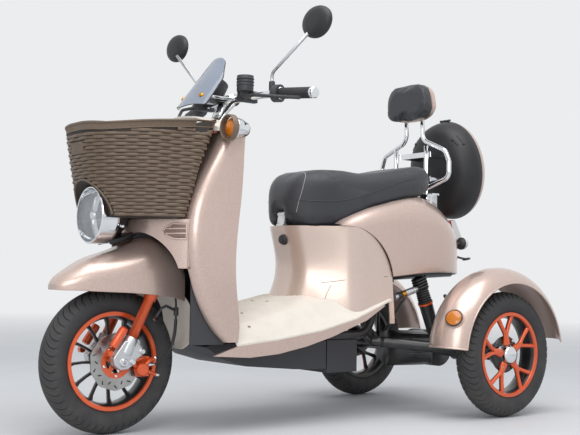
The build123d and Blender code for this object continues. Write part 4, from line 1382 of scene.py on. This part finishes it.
def fork_foot(side, word):
    """The cast clamp about the axle, its bolts, the leg's collar and the damper canister ahead of the leg."""
    outline = [(-26, 196), (-31, 216), (-14, 238), (4, 262), (40, 264), (54, 248), (64, 238), (61, 222),
               (42, 210), (31, 194), (14, 184), (-8, 182)]
    inner, outer = sorted((side * 64 * MM, side * 91 * MM))
    block = plate("block", [(front(a), b * MM) for a, b in outline], inner, outer)
    rounding = block.modifiers.new("rounding", "BEVEL")
    rounding.width = 3 * MM
    rounding.segments = 2
    apply_modifiers(block)
    collar = [(24, 0), (24, 19), (28, 20.5), (70, 20.5), (74, 18), (74, 0)]
    out = (side, 0, 0)
    low, high = ahead_place(side * 82, -30, 245), ahead_place(side * 82, 6, 297)
    long = (high - low).length / MM
    can = [(0, 0), (0, 10), (4, 12.5), (long - 6, 12.5), (long - 4, 10), (long - 2, 12), (long, 9), (long, 0)]
    knob = [(0, 0), (0, 9), (14, 10), (20, 7), (20, 0)]
    parts = [coloured(block, "alloy"),
             turned("alloy", collar, on_stem(0, side * LEG_X), on_stem(1) - on_stem(0)),
             head(ahead_place(side * 90, 56, 232), out, 8, 9),
             head(ahead_place(side * 90, 27, 203), out, 8, 9),
             head(ahead_place(side * 90, 0, 202.5), out, 12, 9),
             turned("orange", can, low, high - low, 40),
             turned("orange", knob, ahead_place(side * 74, -40, 229), out, 32)]
    trim(join(f"fork_foot_{word}", parts), body_of("fork"))


def front_caliper():
    """Round piston housing with its fittings, beside the plain block that straddles the disc."""
    middle = ahead_place(60, 68, 181)
    form = [(0, 0), (0, 19), (16, 19), (20, 17), (22, 15), (22, 0)]
    arms = [[middle + Vector((8 * MM, 0, 0)), ahead_place(66, 96, 205), ahead_place(62, 110, 208)],
            [middle + Vector((8 * MM, 0, 0)), ahead_place(66, 100, 170), ahead_place(62, 116, 164)],
            [middle + Vector((6 * MM, 0, 0)), ahead_place(68, 40, 196), ahead_place(72, 24, 200)]]
    parts = [turned("orange", form, middle), bars("arms", arms, 7, "orange", height=6, sides=12),
             head(ahead_place(62, 112, 209), (0.6, 0.7, 0.3), 5, 7),
             head(ahead_place(62, 119, 163), (0.4, 0.9, -0.1), 5, 9)]
    trim(join("caliper_housing", parts), body_of("brake_caliper"))


def brake_hose():
    """The whole hose, from its reservoir down beside the stem to the caliper, with its guide."""
    hose = coloured(new_object("hose", frame["nodes"]["brake_hose"].data.copy()), "black_plastic")
    fitting = [(-3, 0), (-3, 7), (4, 7), (5, 5), (16, 4.6), (18, 3.4), (18, 0)]
    sleeve = smooth_line([ahead_place(75, back, z) for back, z in ((162, 245), (170, 280), (172.6, 318))], 6)
    guide = [ahead_place(*spot) for spot in ((78, 104, 322), (78, 123, 350), (77, 139, 356), (76, 172, 342))]
    collar = [(-12, 3.2), (-12, 7), (12, 7), (12, 3.2)]
    parts = [hose, turned("chrome", fitting, ahead_place(57, 98, 192), REARWARDS, 24),
             bars("sleeve", [sleeve], 4.6, "black_plastic", sides=12),
             bars("guide", [guide], 5, "black_plastic", height=4, sides=10),
             turned("black_plastic", collar, ahead_place(75, 173, 340), (0, 0, 1), 24),
             head(ahead_place(78, 104, 320), (1, 0, 0), 6, 7)]
    whole = trim(join("brake_hose_whole", parts), body_of("brake_hose"))
    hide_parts("brake_hose")


front_disc()
for side, word in SIDES:
    fork_foot(side, word)
front_caliper()
brake_hose()


# Nose vents and headlamp trim, in millimetres

VENT_EDGE = 203
LAMP_FRONT = -66
BUCKET_DEEP = 52


def nose_vent(side, word):
    """A scoop with slots darkened by painted shade between two ribs on the nose's side."""
    tree = solid_tree("nose_panel")

    def on_nose(points, lift):
        """Places of X and height, laid onto the nose and lifted off it."""
        hits = [tree.ray_cast(ahead_place(side * x, -80, z), REARWARDS)[0] for x, z in points]
        return [hit - REARWARDS * lift * MM for hit in hits if hit is not None]

    def row(start, z, lift):
        """A level line from one X to the vent's open edge."""
        return on_nose([(x, z) for x in range(start, VENT_EDGE + 1, 5)], lift)
    rim = [(VENT_EDGE, 586), (188, 586), (176, 585), (164, 580), (155, 573), (151, 564), (155, 555),
           (164, 548), (176, 543.5), (188, 542.5), (VENT_EDGE, 542.5), (VENT_EDGE, 564), (VENT_EDGE, 586)]
    # lines along the slots, in the darker paint that stands for painted shade
    dark = [row(*slot, 0.4) for slot in ((166, 577), (158, 570), (155, 563.5), (158, 557), (166, 550))]
    ribs = [row(158, z, 3.5) for z in (557.5, 571)]
    parts = [bars("vent_rim", [on_nose(rim, 2.0)], 2.6, "champagne", sides=10),
             bars("vent_painted_shade", [line for line in dark if len(line) > 1], 1.4, "shade", height=4.6, sides=8),
             bars("vent_ribs", ribs, 2.2, "champagne", height=2.6, sides=10)]
    trim(join(f"nose_vent_{word}", parts), body_of("nose_panel"))


def headlamp_trim():
    """The bulb's shade, the bezel, side screws and the bracket below."""
    lamp = Vector((0, front(LAMP_FRONT), centre("headlamp_bucket").z))
    shade = [(30, 0), (30, 9), (20, 12), (8, 13), (4, 10), (3, 0)]
    bezel = [(-3, 75), (-3.5, 78), (-1, 80), (5, 80), (5, 75)]
    struts = [[ahead_place(s * 34, back, z) for back, z in ((-22, 533), (14, 540), (50, 556))]
              for s in (1, -1)]
    parts = [turned("chrome", shade, lamp, REARWARDS, 40), turned("chrome", bezel, lamp, REARWARDS, 96),
             bars("struts", struts, 3, "black_metal", height=9, sides=10)]
    for s in (1, -1):
        parts.append(head(lamp + Vector((s * 76, 58, -30)) * MM, (s, 0.2, -0.3), 5, 5))
    trim(join("headlamp_trim", parts), body_of("headlamp_bucket"))


for side, word in SIDES:
    nose_vent(side, word)
headlamp_trim()


# Rear shocks, lamps, hook, markers and the mudguards' rolled edges, in millimetres

SHOCK_X = 165
GUARD_R = 232.5
GUARD_FLANKS = (251, 411)
GUARD_TURN = 84
# the gas reservoir's parts along its axis, the tube's end counted from the shock
CANISTER = [(0, 14, 9.5, "alloy"), (13, 26, 12, "black_plastic"), (25, 34, 9, "black_plastic"),
            (33, 48, 11.5, "gold"), (47, -8, 10, "alloy")]


def gas_reservoir(side):
    """A tube ahead of the shock with its cap, collar, neck, gold band and fins."""
    tip, root = rear_place(side * SHOCK_X, -309, 381), rear_place(side * SHOCK_X, -200, 412)
    aim, reach = (root - tip).normalized(), (root - tip).length / MM
    parts = []
    for start, end, radius, surface in CANISTER:
        end = end if end > 0 else reach + end
        form = [(start, 0), (start, radius - 1), (start + 1, radius), (end - 1, radius), (end, radius - 1),
                (end, 0)]
        parts.append(turned(surface, form, tip, aim, 32))
    fins = [ring_about(tip + aim * (54 + 7 * k) * MM, aim, 10.4, 24) for k in range(6)]
    return parts + [bars("fins", fins, 1.3, "alloy", sides=6)]


def rear_shock(side, word):
    """Coil, bellows, orange ring and damper body along the solid's own axis, with the gas reservoir ahead."""
    low, high = rear_place(side * SHOCK_X, -116, 239.6), rear_place(side * SHOCK_X, -202, 449)
    aim, long = (high - low).normalized(), (high - low).length / MM
    folds = [fold for k in range(7) for fold in ((140 + 8 * k, 24 - 0.3 * k), (144 + 8 * k, 19))]
    parts = [turned("black_metal", [(6, 0), (6, 16), (24, 17), (30, 21), (128, 23), (130, 0)], low, aim, 40),
             turned("orange", [(130, 0), (130, 25), (136, 25.5), (137, 0)], low, aim, 40),
             turned("grip", [(137, 0), (137, 23)] + folds + [(196, 18), (196, 0)], low, aim, 40, 60),
             bars("coil", [ring_about(low + aim * 186 * MM, aim, 22, 24, 4, 38)], 4, "black_metal", sides=10),
             turned("chrome", [(190, 0), (190, 8), (long, 8), (long, 0)], low, aim, 24)]
    trim(join(f"shock_{word}", parts + gas_reservoir(side)), body_of("shocks"))


def rear_signal(side, word):
    """A white round lamp with a black cap on a short stem from the tail."""
    middle = rear_place(side * 84, 92, 570)
    glass = [(-4, 0), (-4, 17), (2, 20.5), (12, 20.5), (20, 16.5), (25, 9), (27, 0)]
    cap = [(-12, 0), (-12, 10), (-6, 18), (-2, 22), (3, 22), (3, 20), (-4, 16), (-4, 0)]
    stem = [middle - REARWARDS * 8 * MM, rear_place(side * 66, 66, 562)]
    parts = [turned("white_lens", glass, middle, REARWARDS, 40, 50),
             turned("black_plastic", cap, middle, REARWARDS, 40, 50),
             bars("stem", [stem], 6, "black_plastic", sides=12)]
    trim(join(f"rear_signal_{word}", parts), body_of("tail_lamp"))


def plate_hook():
    """A black bracket below the tail lamp with a ring at its end."""
    arm = [rear_place(0, back, z) for back, z in ((96, 545), (140, 530), (176, 522), (200, 519))]
    turns = [tau * k / 32 for k in range(32)]
    ring = [rear_place(11 * sin(turn), 213 + 14 * cos(turn), 518 + 3 * cos(turn)) for turn in turns]
    parts = [bars("arm", [smooth_line(arm, 6)], 7, "black_metal", height=4, sides=12),
             bars("ring", [ring], 3.2, "black_metal", sides=10, closed=True)]
    trim(join("plate_hook", parts), body_of("tail_cover"))


def side_marker(side, word):
    """An amber reflector in a black and a light ring, on the mudguard's front."""
    node = f"rear_mudguard_{word}"
    hit, normal, index, distance = solid_tree(node).find_nearest(rear_place(side * 372, -252, 324))
    aim = normal if normal.y < 0 else -normal
    parts = [turned("champagne", [(-2, 0), (-2, 31), (2, 31), (4, 29), (4, 0)], hit, aim),
             turned("black_plastic", [(2, 0), (2, 28), (6.5, 28), (7.5, 26), (7.5, 0)], hit, aim),
             turned("amber", [(6, 0), (6, 24.5), (9, 24), (11, 20), (12, 0)], hit, aim)]
    trim(join(f"side_marker_{word}", parts), body_of(node))


def on_guard(x, radius, degrees):
    """A place on a mudguard, from its turn ahead of the axle's top."""
    return rear_place(x, -radius * sin(radians(degrees)), TYRE_R / MM + radius * cos(radians(degrees)))


def guard_beads():
    """The rolled edge along the mudguards' sides and lower front ends."""
    low_end = arc_points((250, 232), (331, 282), (412, 232), 24)
    lines = []
    for side in (1, -1):
        lines += [[on_guard(side * x, GUARD_R, a) for a in range(GUARD_TURN, -82, -3)] for x in GUARD_FLANKS]
        lines.append([on_guard(side * x, r, GUARD_TURN) for x, r in low_end])
    trim(bars("guard_beads", lines, 2.8, "champagne", sides=10), body_of("rear_mudguard_left"))


for side, word in SIDES:
    rear_shock(side, word)
    rear_signal(side, word)
    side_marker(side, word)
plate_hook()
guard_beads()


# Seams, screws, slots and small controls, in millimetres

ABOVE_FLOOR = 700
BAR_ALONG = 862
RESERVOIR_X = 115
RESERVOIR_R = 25.2
SCREEN_R = 120
SCREEN_LEAN = radians(38)
BOLT_X = 50
MIRROR_X = 312


def seat_seams():
    """The grooves between the seat base's panels."""
    base = solid_tree("seat_base")
    long = [rear_place(*spot) for spot in ((29, -641, 415), (100, -590, 424), (169, -526, 436),
                                           (193, -367, 449))]
    short = [rear_place(*spot) for spot in ((141, -559, 420), (152, -585, 398), (160, -606, 370))]
    lines = onto_both(base, smooth_line(long, 8), -0.2) + onto_both(base, smooth_line(short, 6), -0.2)
    trim(bars("body_seams", lines, 0.9, "black_plastic", sides=6), body_of("seat_base"))


def seat_lock():
    """The lock's knob on the front of the seat base."""
    knob = [(-4, 0), (-4, 17), (4, 17), (8, 15), (12, 14), (14, 11), (14, 0)]
    lock = coloured(lathe("seat_lock", knob, rear_place(12, -647, 560.5), (0.12, -1, 0), 40), "black_plastic")
    trim(lock, body_of("seat_base"))


def floor_details():
    """The floor's screws and the ribs in its middle."""
    board = solid_tree("floor_board")
    down = Vector((0, 0, -1))
    parts = []
    for x, back in ((171, 360.5), (40, 522), (103, 383)):
        for side in (1, -1):
            spot = board.ray_cast(ahead_place(side * x, back, ABOVE_FLOOR), down)[0]
            parts.append(head(spot, (0, 0, 1), 4.5, 2.2, "steel"))
    ribs = []
    for x in range(-90, 91, 20):
        hits = [board.ray_cast(ahead_place(x, back, ABOVE_FLOOR), down)[0] for back in range(400, 640, 12)]
        ribs.append([hit - down * 0.4 * MM for hit in hits if hit is not None])
    parts.append(bars("ribs", [rib for rib in ribs if len(rib) > 1], 1.6, "cream", height=1.2, sides=8))
    trim(join("floor_details", parts), body_of("floor_board"))


def trunk_slots():
    """Two slanting slots in each shoulder of the trunk."""
    tree = solid_tree("trunk_base")
    lines = []
    for start, end in (((88, 37, 937), (110, 45, 915)), ((93, 53, 951), (124, 60, 916))):
        slot = [rear_place(*start).lerp(rear_place(*end), k / 8) for k in range(9)]
        lines += onto_both(tree, slot, 0.2)
    slots = bars("trunk_slots", lines, 5, "grip", height=5, sides=10)
    trim(slots, body_of("trunk_base"))


def control_details():
    """Ribs on the reservoirs, caps on the grips, collars beside them and the two risers to the bar."""
    bar = on_stem(BAR_ALONG)
    up = Vector((0, 0, 1))
    rings = [ring_about(bar + Vector((side * RESERVOIR_X, -12, 34 + 9 * k)) * MM, up, RESERVOIR_R, 32)
             for side in (1, -1) for k in range(3)]
    parts = [bars("ribs", rings, 1.6, "black_plastic", sides=8)]
    cap = [(-5, 0), (-5, 17.5), (1, 17.5), (5, 14), (6, 0)]
    collar = [(-2.5, 11.2), (-2.5, 18), (-1, 19), (2, 19), (3.5, 17.5), (3.5, 11.2)]
    for side in (1, -1):
        aim = Vector((side, 0.3, -0.07))
        riser = [on_stem(772, side * 19, 4), on_stem(820, side * 30, 2),
                 bar + Vector((side * 42, 0, -12)) * MM]
        parts += [turned("chrome", cap, bar + Vector((side * 334, 74, -5.5)) * MM, aim, 40),
                  turned("chrome", collar, bar + Vector((side * 221, 40.3, 2.5)) * MM, aim, 40),
                  bars("riser", [riser], 6.5, "chrome", sides=16)]
    trim(join("control_details", parts), body_of("handlebar"))


def signal_holder(side, word):
    """A brown ring round the front signal's lens, on the shield's shoulder."""
    ring = [(2, 31.4), (0, 33), (0, 35.5), (3, 37), (17, 37), (17, 31.4)]
    holder = lathe(f"signal_holder_{word}", ring, ahead_place(side * 240, 222, 856), REARWARDS, 64)
    trim(coloured(holder, "wicker"), body_of("front_signals"))


def screen_bolts():
    """Gold bolts where the rods hold the windscreen."""
    turn = asin(BOLT_X / SCREEN_R)
    bolts = []
    for side in (1, -1):
        aim = Vector((side * sin(turn), -cos(turn) * cos(SCREEN_LEAN), cos(turn) * sin(SCREEN_LEAN)))
        bolts.append(head(ahead_place(side * BOLT_X, 258.3, 975.3), aim, 7, 4, "gold"))
    trim(join("screen_bolts", bolts), body_of("windscreen"))


seat_seams()
seat_lock()
floor_details()
trunk_slots()
control_details()
for side, word in SIDES:
    signal_holder(side, word)
screen_bolts()


# Everything that keeps its solid's form

PLAIN_SKINS = {
    "champagne": ["nose_panel", "front_fender", "leg_shield", "side_skirts", "rear_mudguard_left",
                  "rear_mudguard_right", "tail_cover", "trunk_lid"],
    "cream_paint": ["seat_base", "inner_panel"],
    "cream": ["floor_board", "shield_crown", "mudflap"],
    # the basket's wall takes the dark finish of painted shade
    "wicker_painted_shade": ["basket"],
    "chrome": ["backrest_frame", "handlebar", "screen_rods", "front_signals", "rack_plate",
               "trunk_straps"],
    "alloy": ["front_axle", "saddle_bracket"],
    "orange": ["fork", "brake_caliper"],
    "black_metal": ["rail_frame", "head_frame", "swing_arms", "rear_axle", "shocks", "mudguard_stays"],
    "black_plastic": ["wheel_tunnel", "belly_pan", "battery_case", "storage_tub", "trunk_base", "speedometer",
                      "switch_housings", "reservoirs", "brake_levers"],
    "grip": ["grips"],
    "amber": ["front_signal_lenses"],
    "clear": ["headlamp_lens"],
}


def on_screen_edge(at, normal):
    """Whether a face is on the windscreen's edge."""
    return abs(normal.y * cos(SCREEN_LEAN) - normal.z * sin(SCREEN_LEAN)) < 0.6


for surface, nodes in PLAIN_SKINS.items():
    for node in nodes:
        skin_of(node, surface)

bucket = skin_of("headlamp_bucket", "chrome")
paint_faces(bucket, "black_metal", lambda at, n: at.y > front(LAMP_FRONT + BUCKET_DEEP))
tail_lamp = skin_of("tail_lamp", "red_lens")
paint_faces(tail_lamp, "white_lens", lambda at, n: abs(at.x) > 26 * MM)
screen = skin_of("windscreen", "smoke")
paint_faces(screen, "black_plastic", on_screen_edge)
mirror_pair = skin_of("mirrors", "black_plastic")
stalk_foot = on_stem(BAR_ALONG).z + 42 * MM
paint_faces(mirror_pair, "alloy", lambda at, n: abs(at.x) < MIRROR_X * MM and at.z > stalk_foot)
paint_faces(mirror_pair, "mirror", lambda at, n: abs(at.x) > MIRROR_X * MM and n.y > 0.98)

make_camera()
make_light()
make_floor()
